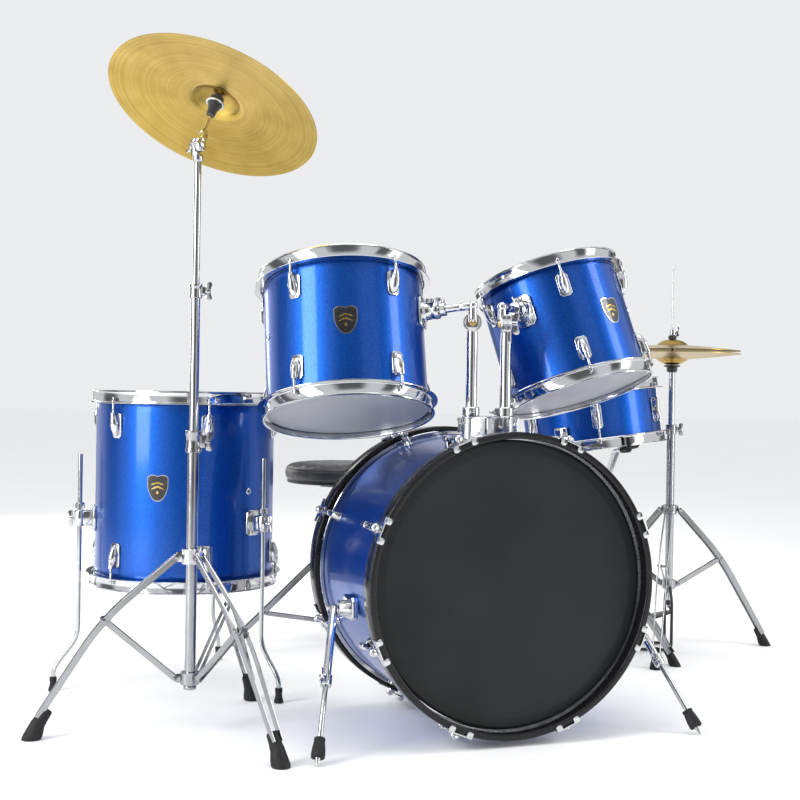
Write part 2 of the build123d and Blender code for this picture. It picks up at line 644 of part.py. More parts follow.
with BuildPart() as hihat_pull_rod:
    bar(hat + UP * 108, hat + UP * 1028, HAT_ROD_RADIUS)
    bar(hat + UP * 812, hat + UP * 823, 11)
    bar(hat + UP * 825.5, hat + UP * 836, 11)
    bar(hat + UP * 836, hat + UP * 854, 8)
save("hihat_pull_rod", hihat_pull_rod)

with BuildPart() as hihat_footboard:
    footboard(hat_heel, hat_toe, pedal_side, HAT_BOARD_WIDTH)
save("hihat_footboard", hihat_footboard)

# ---------------------------------------------------------------- snare and its stand

SNARE_DEPTH = 5.5 * INCH
SNARE_LUG_GAP = 39.0
BASKET_DROP = 200.0             # from the snare's middle down its axis to the basket's hub
GRIP_CIRCLE = 198.5
GRIP_Z = -SNARE_DEPTH / 2 - HOOP_TOP - 8 - GAP

snare = Drum(kit(*SNARE_CENTRE), SNARE_AXIS, -143, 174.5, SNARE_DEPTH, 6, 30)
save("snare_shell", drum_shell(snare, 6))
save("snare_hoops", steel_hoops(snare))
save("snare_heads", drum_heads(snare, (1, -1), 0.8, 5.2, -12.0, -3.2))

STRAINER_TURN = 180.0
with BuildPart() as snare_lugs:
    add_lugs(snare, SNARE_LUG_GAP, SNARE_DEPTH / 2 - SNARE_LUG_GAP)
    block(snare.point(STRAINER_TURN, snare.radius + 10, -8), (22, 34, 66), snare.spoke(STRAINER_TURN),
          snare.frame.z_dir)
    block(snare.point(STRAINER_TURN, snare.radius + 24, 8), (8, 12, 58), snare.spoke(STRAINER_TURN),
          snare.frame.z_dir)
    clear_shell(snare)
save("snare_lugs", snare_lugs)

hub = snare.point(0, 0, -BASKET_DROP)
snare_stand = Vector(hub.X, hub.Y, 0)
SNARE_CLAMP_Z = 300.0
with BuildPart() as snare_stand_legs:
    bar(snare_stand + UP * 70, snare_stand + UP * SNARE_CLAMP_Z, 12.5)
    clamp_collar(snare_stand + UP * SNARE_CLAMP_Z, 26, 16)
    bar(snare_stand + UP * 214, snare_stand + UP * 240, 20)
    bar(snare_stand + UP * 78, snare_stand + UP * 100, 20)
    bar(snare_stand + UP * 80, snare_stand + UP * 400, 10 + FIT, Mode.SUBTRACT)
    add_tripod(snare_stand, 180, (28, 227), (140, 122), (212, 30), (28, 89), 15)
save("snare_stand_legs", snare_stand_legs)

with BuildPart() as snare_basket:
    bar(snare_stand + UP * 160, hub - UP * 12, 10)
    bar(hub - UP * 34, hub + snare.frame.z_dir * 12, 17)
    for turn in (50, 170, 290):
        root = hub + snare.spoke(turn) * 8
        elbow = snare.point(turn, 112, GRIP_Z)
        tip = snare.point(turn, GRIP_CIRCLE, GRIP_Z)
        bar(root, elbow, 5)
        ball(elbow, 6.3)
        bar(elbow, snare.point(turn, 166, GRIP_Z), 5)
        bar(snare.point(turn, 160, GRIP_Z), snare.point(turn, GRIP_CIRCLE + 6.5, GRIP_Z), 8)
        bar(tip, tip + snare.frame.z_dir * 30, 4)
save("snare_basket", snare_basket)

# ---------------------------------------------------------------- throne

throne = kit(THRONE_X, THRONE_Y)
with BuildPart(Plane(origin=throne + UP * (SEAT_TOP - SEAT_THICK / 2))) as throne_seat:
    Cylinder(SEAT_RADIUS, SEAT_THICK)
    fillet(throne_seat.edges().filter_by(GeomType.CIRCLE).group_by(Axis.Z)[-1], 20)
    fillet(throne_seat.edges().filter_by(GeomType.CIRCLE).group_by(Axis.Z)[0], 6)
save("throne_seat", throne_seat)

SEAT_FOOT = SEAT_TOP - SEAT_THICK
with BuildPart() as throne_post:
    bar(throne + UP * 130, throne + UP * (SEAT_FOOT - 10), 11)
    bar(throne + UP * (SEAT_FOOT - 44), throne + UP * (SEAT_FOOT - 8), 19)
    block(throne + UP * (SEAT_FOOT - 6 - GAP), (96, 96, 12))
save("throne_post", throne_post)

with BuildPart() as throne_tripod:
    bar(throne + UP * 36, throne + UP * 318, 14)
    clamp_collar(throne + UP * 318, 26, 18)
    bar(throne + UP * 246, throne + UP * 276, 22)
    bar(throne + UP * 42, throne + UP * 66, 22)
    bar(throne + UP * 44, throne + UP * 400, 11 + FIT, Mode.SUBTRACT)
    add_tripod(throne, THRONE_TURN, (30, 258), (212, 86), (272, 30), (30, 54), 17)
save("throne_tripod", throne_tripod)

# ---------------------------------------------------------------- bass pedal

PEDAL_HALF = 46.0
AXLE_Y, AXLE_Z = 236.0, 186.0
AXLE_RADIUS = 5.0
BEATER_REACH = 186.0
BEATER_LEAN = 40.0              # beater at rest, behind the vertical
PEDAL_HEEL_Y, PEDAL_TOE_Y = 455.0, 252.0
HOOP_BOTTOM = BASS_Z - BASS_HOOP_OUTER

side_way = Vector(1, 0, 0)
axle = kit(0, AXLE_Y, AXLE_Z)
pedal_heel = kit(0, PEDAL_HEEL_Y, 18)
pedal_toe = kit(0, PEDAL_TOE_Y, 76)

with BuildPart() as pedal_frame:
    block(kit(0, 362, 2.5), (70, 250, 5))
    block(kit(0, 470, 2.5), (100, 50, 5))
    block(kit(0, 205, (HOOP_BOTTOM - GAP) / 2), (60, 66, HOOP_BOTTOM - GAP))
    block(kit(0, 230, 8), (2 * PEDAL_HALF + 14, 24, 16))
    for side in (-1, 1):
        block(kit(side * (PEDAL_HALF + 2), AXLE_Y, 103), (10, 14, 186))
        block(kit(side * (PEDAL_HALF - 1), PEDAL_HEEL_Y, 14), (7, 26, 24))
    bar(pedal_heel - side_way * PEDAL_HALF, pedal_heel + side_way * PEDAL_HALF, HINGE_PIN)
    bar(axle - side_way * 80, axle + side_way * 80, AXLE_RADIUS + FIT, Mode.SUBTRACT)
save("pedal_frame", pedal_frame)

with BuildPart() as pedal_footboard:
    footboard(pedal_heel, pedal_toe, side_way, 2 * PEDAL_HALF - 16)
save("pedal_footboard", pedal_footboard)

lean = Vector(0, sin(radians(BEATER_LEAN)), cos(radians(BEATER_LEAN)))
beater = axle + lean * BEATER_REACH
stroke = Vector(0, cos(radians(BEATER_LEAN)), -sin(radians(BEATER_LEAN)))
with BuildPart() as pedal_beater:
    bar(axle - side_way * (PEDAL_HALF + 7), axle + side_way * (PEDAL_HALF + 7), AXLE_RADIUS)
    bar(axle - side_way * 14, axle + side_way * 14, 17)
    bar(axle, beater, 3.5)
    bar(beater - stroke * 27, beater + stroke * 27, 22)
save("pedal_beater", pedal_beater)
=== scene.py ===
import bmesh
import bpy
from math import cos, hypot, pi, radians, sin
from mathutils import Matrix, Vector


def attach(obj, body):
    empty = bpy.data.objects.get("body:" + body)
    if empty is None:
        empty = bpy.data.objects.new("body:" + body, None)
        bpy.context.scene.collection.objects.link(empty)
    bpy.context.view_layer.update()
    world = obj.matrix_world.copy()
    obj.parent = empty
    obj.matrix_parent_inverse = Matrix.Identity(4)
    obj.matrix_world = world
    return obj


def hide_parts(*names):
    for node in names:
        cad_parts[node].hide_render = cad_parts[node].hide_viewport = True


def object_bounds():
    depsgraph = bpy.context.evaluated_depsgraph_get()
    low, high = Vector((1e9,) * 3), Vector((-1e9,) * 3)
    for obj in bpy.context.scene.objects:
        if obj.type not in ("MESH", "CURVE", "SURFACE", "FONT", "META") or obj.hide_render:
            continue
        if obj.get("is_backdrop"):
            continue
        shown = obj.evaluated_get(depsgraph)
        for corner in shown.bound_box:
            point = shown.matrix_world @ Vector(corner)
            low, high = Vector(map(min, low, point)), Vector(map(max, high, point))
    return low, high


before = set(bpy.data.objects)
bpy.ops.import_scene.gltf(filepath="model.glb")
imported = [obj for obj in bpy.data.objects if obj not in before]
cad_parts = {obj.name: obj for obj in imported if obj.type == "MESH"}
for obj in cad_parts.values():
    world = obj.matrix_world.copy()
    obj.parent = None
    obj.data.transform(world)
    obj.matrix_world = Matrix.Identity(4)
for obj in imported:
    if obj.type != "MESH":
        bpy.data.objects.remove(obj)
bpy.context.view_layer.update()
scene = bpy.context.scene

# Lengths are millimetres and repeat the CAD design; each mesh is turned into metres when it is done.
MM = 0.001
INCH = 25.4
GAP = 0.3
BASS_X, BASS_Y, BASS_Z = -107.11, -449.45, 306.0
UP = Vector((0, 0, 1))


# ------------------------------------------------------------------ places

def kit(x, y, z=0.0):
    """Point given from the floor under the middle of the bass drum."""
    return Vector((BASS_X + x, BASS_Y + y, z))


def heading(turn):
    """Level unit vector at an angle from +X."""
    return Vector((cos(radians(turn)), sin(radians(turn)), 0))


def placed(origin, z_dir, x_dir=None):
    """Frame at a point with its Z along z_dir and its X near x_dir."""
    z = Vector(z_dir).normalized()
    x = Vector(x_dir) if x_dir is not None else z.orthogonal()
    x = (x - z * x.dot(z)).normalized()
    y = z.cross(x)
    turn = Matrix((x, y, z)).transposed().to_4x4()
    return Matrix.Translation(origin) @ turn


def shifted(base, x=0.0, y=0.0, z=0.0):
    """The same frame, moved along its own axes."""
    return base @ Matrix.Translation((x, y, z))


def rounded(points, reach, steps=6):
    """A path with its corners replaced by smooth bends."""
    path = [points[0]]
    for before, corner, after in zip(points, points[1:], points[2:]):
        back = min(reach, (before - corner).length * 0.48)
        on = min(reach, (after - corner).length * 0.48)
        start = corner + (before - corner).normalized() * back
        end = corner + (after - corner).normalized() * on
        for k in range(steps + 1):
            t = k / steps
            path.append(start * (1 - t) ** 2 + corner * (2 * t * (1 - t)) + end * t ** 2)
    path.append(points[-1])
    return path


# ------------------------------------------------------------------ mesh kit

class Piece:
    """A mesh under construction: closed parts that make one object."""

    def __init__(self):
        self.bm = bmesh.new()
        self.uv = self.bm.loops.layers.uv.new("UVMap")

    def face(self, corners, uvs=None):
        face = self.bm.faces.new(corners)
        if uvs:
            for loop, uv in zip(face.loops, uvs):
                loop[self.uv].uv = uv

    def join(self, part, base):
        """Add a part made in its own mesh."""
        part.transform(base)
        mesh = bpy.data.meshes.new("part")
        part.to_mesh(mesh)
        part.free()
        self.bm.from_mesh(mesh)
        self.uv = self.bm.loops.layers.uv.verify()
        bpy.data.meshes.remove(mesh)

    def lathe(self, base, profile, steps=40):
        """Surface of revolution about the frame's Z from (radius, height) points."""
        closed = profile[0] == profile[-1]
        rings, runs, run = [], [], 0.0
        for i, (r, z) in enumerate(profile):
            if i:
                run += hypot(r - profile[i - 1][0], z - profile[i - 1][1])
            runs.append(run * MM)
            if closed and i == len(profile) - 1:
                rings.append(rings[0])
            elif r < 1e-6:
                rings.append([self.bm.verts.new(base @ Vector((0, 0, z)))])
            else:
                turns = [2 * pi * k / steps for k in range(steps)]
                rings.append([self.bm.verts.new(base @ Vector((r * cos(t), r * sin(t), z))) for t in turns])
        for i in range(len(profile) - 1):
            low, high = rings[i], rings[i + 1]
            if len(low) == 1 and len(high) == 1:
                continue
            for k in range(steps):
                n = (k + 1) % steps
                a, b = k / steps, (k + 1) / steps
                v, w = runs[i], runs[i + 1]
                if len(low) == 1:
                    self.face((low[0], high[n], high[k]), ((a, v), (b, w), (a, w)))
                elif len(high) == 1:
                    self.face((low[k], low[n], high[0]), ((a, v), (b, v), (a, w)))
                else:
                    self.face((low[k], low[n], high[n], high[k]), ((a, v), (b, v), (b, w), (a, w)))

    def disc(self, base, radius, low, high, soft=0.8, steps=32):
        """Round bar along the frame's Z with softened ends."""
        soft = min(soft, radius * 0.45, abs(high - low) * 0.45)
        self.lathe(base, [(0, low), (radius - soft, low), (radius - soft * 0.3, low + soft * 0.3),
                          (radius, low + soft), (radius, high - soft),
                          (radius - soft * 0.3, high - soft * 0.3), (radius - soft, high), (0, high)],
                          steps)

    def bar(self, start, end, radius, soft=0.8, steps=28):
        """Round bar between two points."""
        self.disc(placed(start, end - start), radius, 0, (end - start).length, soft, steps)

    def ball(self, centre, radius, steps=28):
        """Ball."""
        profile = [(radius * sin(pi * k / 14), -radius * cos(pi * k / 14)) for k in range(15)]
        profile[0], profile[-1] = (0, -radius), (0, radius)
        self.lathe(placed(centre, UP), profile, steps)

    def box(self, base, size, bevel=1.2, segments=2):
        """Box with its middle at the frame and softened edges."""
        part = bmesh.new()
        bmesh.ops.create_cube(part, size=1.0, matrix=Matrix.Diagonal((*size, 1)))
        bevel = min(bevel, min(size) * 0.45)
        bmesh.ops.bevel(part, geom=part.edges[:], offset=bevel, segments=segments, affect="EDGES",
                        profile=0.5)
        self.join(part, base)

    def prism(self, base, outline, low, high, bevel=0.8):
        """Plate with an outline in the frame's XY and softened rims."""
        part = bmesh.new()
        face = part.faces.new([part.verts.new((x, y, low)) for x, y in outline])
        grown = bmesh.ops.extrude_face_region(part, geom=[face])
        moved = [v for v in grown["geom"] if isinstance(v, bmesh.types.BMVert)]
        bmesh.ops.translate(part, verts=moved, vec=(0, 0, high - low))
        if bevel:
            rims = [e for e in part.edges if abs(e.verts[0].co.z - e.verts[1].co.z) < 1e-6]
            bmesh.ops.bevel(part, geom=rims, offset=min(bevel, (high - low) * 0.45), segments=2,
                            affect="EDGES", profile=0.5)
        self.join(part, base)

    def skin(self, sections, caps=True, loop=False):
        """Closed surface through a row of closed sections with equal numbers of points."""
        rings = [[self.bm.verts.new(p) for p in section] for section in sections]
        pairs = list(zip(rings, rings[1:]))
        if loop:
            pairs.append((rings[-1], rings[0]))
        count = len(rings[0])
        for i, (low, high) in enumerate(pairs):
            for k in range(count):
                n = (k + 1) % count
                a, b = k / count, (k + 1) / count
                v, w = i / len(pairs), (i + 1) / len(pairs)
                self.face((low[k], low[n], high[n], high[k]), ((a, v), (b, v), (b, w), (a, w)))
        if caps and not loop:
            self.bm.faces.new(rings[0][::-1])
            self.bm.faces.new(rings[-1])

    def pipe(self, path, radius, steps=14, loop=False):
        """Round tube along a path; the radius may be one number or one for each point."""
        radii = radius if isinstance(radius, (list, tuple)) else [radius] * len(path)
        sections, across = [], None
        for i, point in enumerate(path):
            if loop:
                way = path[(i + 1) % len(path)] - path[i - 1]
            else:
                way = path[min(i + 1, len(path) - 1)] - path[max(i - 1, 0)]
            way.normalize()
            across = way.orthogonal() if across is None else across
            across = (across - way * across.dot(way)).normalized()
            other = way.cross(across)
            turns = [2 * pi * k / steps for k in range(steps)]
            sections.append([point + (across * cos(t) + other * sin(t)) * radii[i] for t in turns])
        self.skin(sections, loop=loop)

    def ribbon(self, path, across, width, thick, spread=None):
        """Flat bar along a path. across is its thin direction; spread shifts each point that way."""
        soft = min(thick * 0.35, 0.8)
        sections = []
        for i, point in enumerate(path):
            way = (path[min(i + 1, len(path) - 1)] - path[max(i - 1, 0)]).normalized()
            tall = across.cross(way).normalized()
            middle = point + across * (spread[i] if spread else 0)
            a, b = thick / 2, width / 2
            corners = [(a, -b + soft), (a, b - soft), (a - soft, b), (-a + soft, b),
                       (-a, b - soft), (-a, -b + soft), (-a + soft, -b), (a - soft, -b)]
            sections.append([middle + across * u + tall * v for u, v in corners])
        self.skin(sections)

    def loft(self, rings, steps=28):
        """Surface through ellipses given as (centre, first half axis, second half axis)."""
        turns = [2 * pi * k / steps for k in range(steps)]
        self.skin([[c + a * cos(t) + b * sin(t) for t in turns] for c, a, b in rings])

    def dome(self, base, stations, steps=16):
        """Half-round pod on a plane: stations are (y, half width, height) along the frame's Y."""
        sections = []
        for y, wide, tall in stations:
            arc = [pi * k / steps for k in range(steps + 1)]
            sections.append([base @ Vector((wide * cos(t), y, tall * sin(t))) for t in arc])
        self.skin(sections)

    def done(self, name, material, body, replaces=(), slot=None, sharp=38):
        """Make the object and let it ride on its body."""
        bmesh.ops.recalc_face_normals(self.bm, faces=self.bm.faces[:])
        for face in self.bm.faces:
            face.smooth = True
        self.bm.transform(Matrix.Scale(MM, 4))
        mesh = bpy.data.meshes.new(name)
        self.bm.to_mesh(mesh)
        self.bm.free()
        mesh.materials.append(material)
        mesh.set_sharp_from_angle(angle=radians(sharp))
        obj = bpy.data.objects.new(name, mesh)
        scene.collection.objects.link(obj)
        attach(obj, body)
        if replaces:
            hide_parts(*replaces)
        return obj


# ------------------------------------------------------------------ materials

class Nodes:
    """Short names for building one node material."""

    def __init__(self, name):
        self.material = bpy.data.materials.new(name)
        self.material.use_nodes = True
        self.tree = self.material.node_tree
        self.shader = self.tree.nodes["Principled BSDF"]

    def set(self, **values):
        for key, value in values.items():
            self.shader.inputs[key.replace("_", " ")].default_value = value
        return self

    def add(self, kind, **settings):
        node = self.tree.nodes.new(kind)
        for key, value in settings.items():
            setattr(node, key, value)
        return node

    def link(self, output, target):
        self.tree.links.new(output, target)

    def coords(self, which="Object"):
        return self.add("ShaderNodeTexCoord").outputs[which]

    def noise(self, scale, detail=3.0, stretch=None, which="Object"):
        """Noise in metres, stretched along an axis if asked."""
        noise = self.add("ShaderNodeTexNoise")
        noise.inputs["Scale"].default_value = scale
        noise.inputs["Detail"].default_value = detail
        source = self.coords(which)
        if stretch:
            scaled = self.add("ShaderNodeMapping")
            scaled.inputs["Scale"].default_value = stretch
            self.link(source, scaled.inputs["Vector"])
            source = scaled.outputs["Vector"]
        self.link(source, noise.inputs["Vector"])
        return noise.outputs["Fac"]

    def span(self, value, low, high, old_low=0.35, old_high=0.65):
        """Map a value's range to another range."""
        node = self.add("ShaderNodeMapRange")
        node.inputs["From Min"].default_value = old_low
        node.inputs["From Max"].default_value = old_high
        node.inputs["To Min"].default_value = low
        node.inputs["To Max"].default_value = high
        self.link(value, node.inputs["Value"])
        return node.outputs["Result"]

    def ramp(self, value, *stops):
        """Colour ramp: stops are (position, colour)."""
        node = self.add("ShaderNodeValToRGB")
        while len(node.color_ramp.elements) < len(stops):
            node.color_ramp.elements.new(0.5)
        for element, (place, colour) in zip(node.color_ramp.elements, stops):
            element.position = place
            element.color = (*colour, 1)
        self.link(value, node.inputs["Fac"])
        return node.outputs["Color"]

    def colour(self, output):
        self.link(output, self.shader.inputs["Base Color"])
        return self

    def rough(self, output):
        self.link(output, self.shader.inputs["Roughness"])
        return self

    def bump(self, output, strength, distance):
        """Bump with its depth in metres; several may be stacked."""
        node = self.add("ShaderNodeBump")
        node.inputs["Strength"].default_value = strength
        node.inputs["Distance"].default_value = distance
        self.link(output, node.inputs["Height"])
        previous = self.shader.inputs["Normal"].links
        if previous:
            self.link(previous[0].from_socket, node.inputs["Normal"])
        self.link(node.outputs["Normal"], self.shader.inputs["Normal"])
        return self


def blue_wrap():
    """Metallic plastic wrap: deep blue with fine flakes under a gloss film."""
    m = Nodes("blue_wrap").set(Metallic=0.90, Coat_Weight=0.5, Coat_Roughness=0.10, Coat_IOR=1.45)
    flakes = m.add("ShaderNodeTexVoronoi")
    flakes.inputs["Scale"].default_value = 1400
    m.link(m.coords(), flakes.inputs["Vector"])
    m.colour(m.ramp(m.noise(900, 2.0), (0.30, (0.001, 0.030, 0.22)), (0.52, (0.002, 0.072, 0.40)),
                    (0.72, (0.010, 0.165, 0.66))))
    m.rough(m.span(flakes.outputs["Distance"], 0.30, 0.42, 0.0, 0.8))
    m.bump(m.noise(7, 2.0), 0.10, 0.0015)
    return m.material


def chrome(name="chrome", tone=(0.63, 0.64, 0.655), low=0.05, high=0.13):
    """Plated metal with faint smears and ripples."""
    m = Nodes(name).set(Metallic=1.0)
    warm = tuple(c * 0.93 for c in tone)
    m.colour(m.ramp(m.noise(18, 4.0), (0.35, warm), (0.65, tone)))
    m.rough(m.span(m.noise(42, 5.0), low, high))
    m.bump(m.noise(30, 2.0), 0.06, 0.0006)
    return m.material


def cast_metal():
    """Softly polished casting under thin plating."""
    m = Nodes("cast_metal").set(Metallic=1.0)
    m.colour(m.ramp(m.noise(25, 4.0), (0.3, (0.50, 0.51, 0.53)), (0.7, (0.62, 0.63, 0.64))))
    m.rough(m.span(m.noise(60, 5.0), 0.16, 0.30))
    m.bump(m.noise(260, 3.0), 0.12, 0.0004)
    return m.material


def cymbal_brass():
    """Brass sheet, lathed in fine rings with a soft patina."""
    m = Nodes("cymbal_brass").set(Metallic=1.0, Anisotropic=0.55)
    split = m.add("ShaderNodeSeparateXYZ")
    m.link(m.coords("UV"), split.inputs["Vector"])
    ring = m.add("ShaderNodeCombineXYZ")
    m.link(split.outputs["Y"], ring.inputs["X"])
    fine = m.add("ShaderNodeTexNoise")
    fine.inputs["Scale"].default_value = 900
    fine.inputs["Detail"].default_value = 4
    m.link(ring.outputs["Vector"], fine.inputs["Vector"])
    broad = m.add("ShaderNodeTexNoise")
    broad.inputs["Scale"].default_value = 120
    broad.inputs["Detail"].default_value = 3
    m.link(ring.outputs["Vector"], broad.inputs["Vector"])
    mix = m.add("ShaderNodeMix", data_type="FLOAT")
    mix.inputs["Factor"].default_value = 0.5
    m.link(m.noise(14, 5.0), mix.inputs["A"])
    m.link(broad.outputs["Fac"], mix.inputs["B"])
    m.colour(m.ramp(mix.outputs["Result"], (0.30, (0.34, 0.225, 0.045)), (0.5, (0.46, 0.315, 0.072)),
                    (0.70, (0.58, 0.420, 0.120))))
    m.rough(m.span(fine.outputs["Fac"], 0.20, 0.36))
    m.bump(fine.outputs["Fac"], 0.35, 0.00025)
    m.bump(broad.outputs["Fac"], 0.25, 0.0004)
    m.bump(m.noise(55, 1.0), 0.10, 0.0012)
    tangent = m.add("ShaderNodeTangent", direction_type="UV_MAP")
    m.link(tangent.outputs["Tangent"], m.shader.inputs["Tangent"])
    return m.material


def film(name, tone, rough, through):
    """Hazy plastic drum film."""
    m = Nodes(name).set(Transmission_Weight=through, IOR=1.2)
    low = tuple(c * 0.9 for c in tone)
    m.colour(m.ramp(m.noise(9, 5.0), (0.35, low), (0.65, tone)))
    m.rough(m.span(m.noise(120, 3.0), rough - 0.06, rough + 0.06))
    m.bump(m.noise(600, 2.0), 0.08, 0.0001)
    return m.material


def black_film():
    """Satin black drum film with a fine coating."""
    m = Nodes("black_film").set(Specular_IOR_Level=0.22)
    m.colour(m.ramp(m.noise(6, 5.0), (0.35, (0.011, 0.013, 0.0135)), (0.65, (0.016, 0.0185, 0.019))))
    m.rough(m.span(m.noise(35, 4.0), 0.34, 0.44))
    m.bump(m.noise(1400, 2.0), 0.15, 0.00012)
    return m.material


def gloss_black():
    """Lacquered hoop with faint wood grain under the lacquer."""
    m = Nodes("gloss_black").set(Coat_Weight=0.15, Coat_Roughness=0.10, Specular_IOR_Level=0.25)
    m.colour(m.ramp(m.noise(40, 4.0, (1, 1, 8)), (0.3, (0.004, 0.004, 0.005)),
                    (0.7, (0.010, 0.010, 0.011))))
    m.rough(m.span(m.noise(50, 4.0), 0.14, 0.30))
    m.bump(m.noise(90, 2.0), 0.06, 0.0005)
    return m.material


def rubber():
    """Matt moulded rubber."""
    m = Nodes("rubber").set(Specular_IOR_Level=0.35)
    m.colour(m.ramp(m.noise(60, 5.0), (0.3, (0.006, 0.006, 0.007)), (0.7, (0.014, 0.014, 0.015))))
    m.rough(m.span(m.noise(120, 4.0), 0.55, 0.75))
    m.bump(m.noise(700, 3.0), 0.25, 0.0003)
    return m.material


def painted_black():
    """Black powder paint on pedal frames and castings."""
    m = Nodes("painted_black").set(Specular_IOR_Level=0.5)
    m.colour(m.ramp(m.noise(30, 4.0), (0.3, (0.012, 0.012, 0.013)), (0.7, (0.026, 0.026, 0.028))))
    m.rough(m.span(m.noise(80, 4.0), 0.28, 0.45))
    m.bump(m.noise(1100, 2.0), 0.25, 0.0002)
    return m.material


def felt(name, low, high):
    """Pressed wool felt."""
    m = Nodes(name).set(Sheen_Weight=0.5, Sheen_Roughness=0.5)
    m.colour(m.ramp(m.noise(500, 6.0), (0.3, low), (0.7, high)))
    m.rough(m.span(m.noise(300, 3.0), 0.85, 1.0))
    m.bump(m.noise(1500, 5.0), 0.6, 0.0006)
    return m.material


def vinyl():
    """Black seat vinyl with a leather grain."""
    m = Nodes("black_vinyl").set(Specular_IOR_Level=0.55, Coat_Weight=0.15, Coat_Roughness=0.3)
    grain = m.add("ShaderNodeTexVoronoi", feature="DISTANCE_TO_EDGE")
    grain.inputs["Scale"].default_value = 420
    m.link(m.coords(), grain.inputs["Vector"])
    m.colour(m.ramp(m.noise(24, 4.0), (0.3, (0.012, 0.012, 0.013)), (0.7, (0.024, 0.024, 0.026))))
    m.rough(m.span(m.noise(70, 4.0), 0.34, 0.50))
    m.bump(m.span(grain.outputs["Distance"], 0.0, 1.0, 0.0, 0.25), 0.45, 0.0004)
    m.bump(m.noise(35, 3.0), 0.20, 0.002)
    return m.material


def brass_bolt():
    """Small yellow-plated fasteners and badge marks."""
    m = Nodes("brass_bolt").set(Metallic=1.0)
    m.colour(m.ramp(m.noise(90, 4.0), (0.3, (0.50, 0.33, 0.09)), (0.7, (0.72, 0.52, 0.18))))
    m.rough(m.span(m.noise(150, 4.0), 0.18, 0.32))
    return m.material


def enamel():
    """Black badge enamel."""
    m = Nodes("enamel").set(Coat_Weight=0.8, Coat_Roughness=0.05)
    m.colour(m.ramp(m.noise(200, 3.0), (0.3, (0.004, 0.004, 0.005)), (0.7, (0.010, 0.010, 0.011))))
    m.rough(m.span(m.noise(150, 3.0), 0.2, 0.35))
    return m.material


WRAP = blue_wrap()
CHROME = chrome()
TUBE = chrome("tube_chrome", (0.50, 0.51, 0.53), 0.07, 0.17)
STEEL = chrome("stand_chrome", (0.36, 0.365, 0.38), 0.12, 0.24)
CAST = cast_metal()
BRASS = cymbal_brass()
HAZE = film("clear_film", (0.66, 0.67, 0.70), 0.34, 0.45)
COATED = film("coated_film", (0.80, 0.81, 0.80), 0.46, 0.12)
BLACK_FILM = black_film()
HOOP = gloss_black()
RUBBER = rubber()
PAINT = painted_black()
FELT = felt("black_felt", (0.010, 0.010, 0.011), (0.030, 0.030, 0.032))
GREY_FELT = felt("grey_felt", (0.16, 0.15, 0.14), (0.34, 0.33, 0.31))
VINYL = vinyl()
BOLT = brass_bolt()
ENAMEL = enamel()


# ------------------------------------------------------------------ small hardware

def wing(piece, base, span=34.0, stem=10.0):
    """Wing screw: hub on the frame's Z and two rounded wings."""
    piece.disc(base, 5.2, 0, stem, 1.0, 24)
    lobe = [(0.12, -0.16), (0.55, -0.30), (0.85, -0.26), (1.0, 0.0), (0.98, 0.24), (0.78, 0.40),
            (0.50, 0.30), (0.12, 0.20)]
    outline = [(x * span / 2, y * span / 2) for x, y in lobe]
    outline += [(-x, y) for x, y in reversed(outline)]
    upright = base @ Matrix.Translation((0, 0, stem * 0.72)) @ Matrix.Rotation(pi / 2, 4, "X")
    piece.prism(upright, outline, -1.7, 1.7, 0.9)


def square_screw(piece, base, size=7.0, tall=9.0):
    """Square-headed screw on a round washer."""
    piece.disc(base, 5.2, 0, 1.5, 0.4, 24)
    piece.disc(base, 4.2, 1.5, 3.2, 0.4, 24)
    piece.box(shifted(base, z=3.2 + (tall - 3.2) / 2), (size * 0.82, size * 0.82, tall - 3.2), 0.8)
    piece.disc(base, 2.8, tall - 0.2, tall + 1.6, 0.6, 20)


def hex_nut(piece, base, across=11.0, tall=5.0):
    """Six-sided nut."""
    outline = [(across / 2 * cos(pi / 3 * k), across / 2 * sin(pi / 3 * k)) for k in range(6)]
    piece.prism(base, outline, 0, tall, 0.7)


def gear(piece, base, radius, low, high, teeth=36):
    """Disc with a fine toothed edge."""
    outline = []
    for k in range(teeth * 2):
        r = radius if k % 2 else radius - 1.0
        outline.append((r * cos(pi * k / teeth), r * sin(pi * k / teeth)))
    piece.prism(base, outline, low, high, 0.5)


def clipped(w, h, cut):
    """Rectangle of half sizes w and h with its corners cut off."""
    return [(-w, -h + cut), (-w + cut, -h), (w - cut, -h), (w, -h + cut),
            (w, h - cut), (w - cut, h), (-w + cut, h), (-w, h - cut)]


def round_sleeve(piece, base, bore, radius, low, high, soft=1.2, steps=40):
    """Hollow round sleeve along the frame's Z with softened rims."""
    piece.lathe(base, [(bore, low), (radius - soft, low), (radius, low + soft), (radius, high - soft),
                       (radius - soft, high), (bore, high), (bore, low)], steps)


def screw_boss(piece, centre, reach, size, wing_reach, span, stem):
    """Boss on the side of a sleeve with the wing screw that locks its tube."""
    out = heading(-20)
    piece.box(placed(centre + out * reach, out, UP), size, 3)
    wing(piece, placed(centre + out * wing_reach, out, UP), span, stem)


def collar(piece, base, height, radius, bore, first_turn):
    """Ring on a tube with three forked ears for the legs."""
    round_sleeve(piece, placed(base, UP), bore, radius, 0, height)
    for k in range(3):
        out = heading(first_turn + 120 * k)
        piece.box(placed(base + out * (radius + 2) + UP * height / 2, out, UP), (height * 0.7, 7, 14), 2)


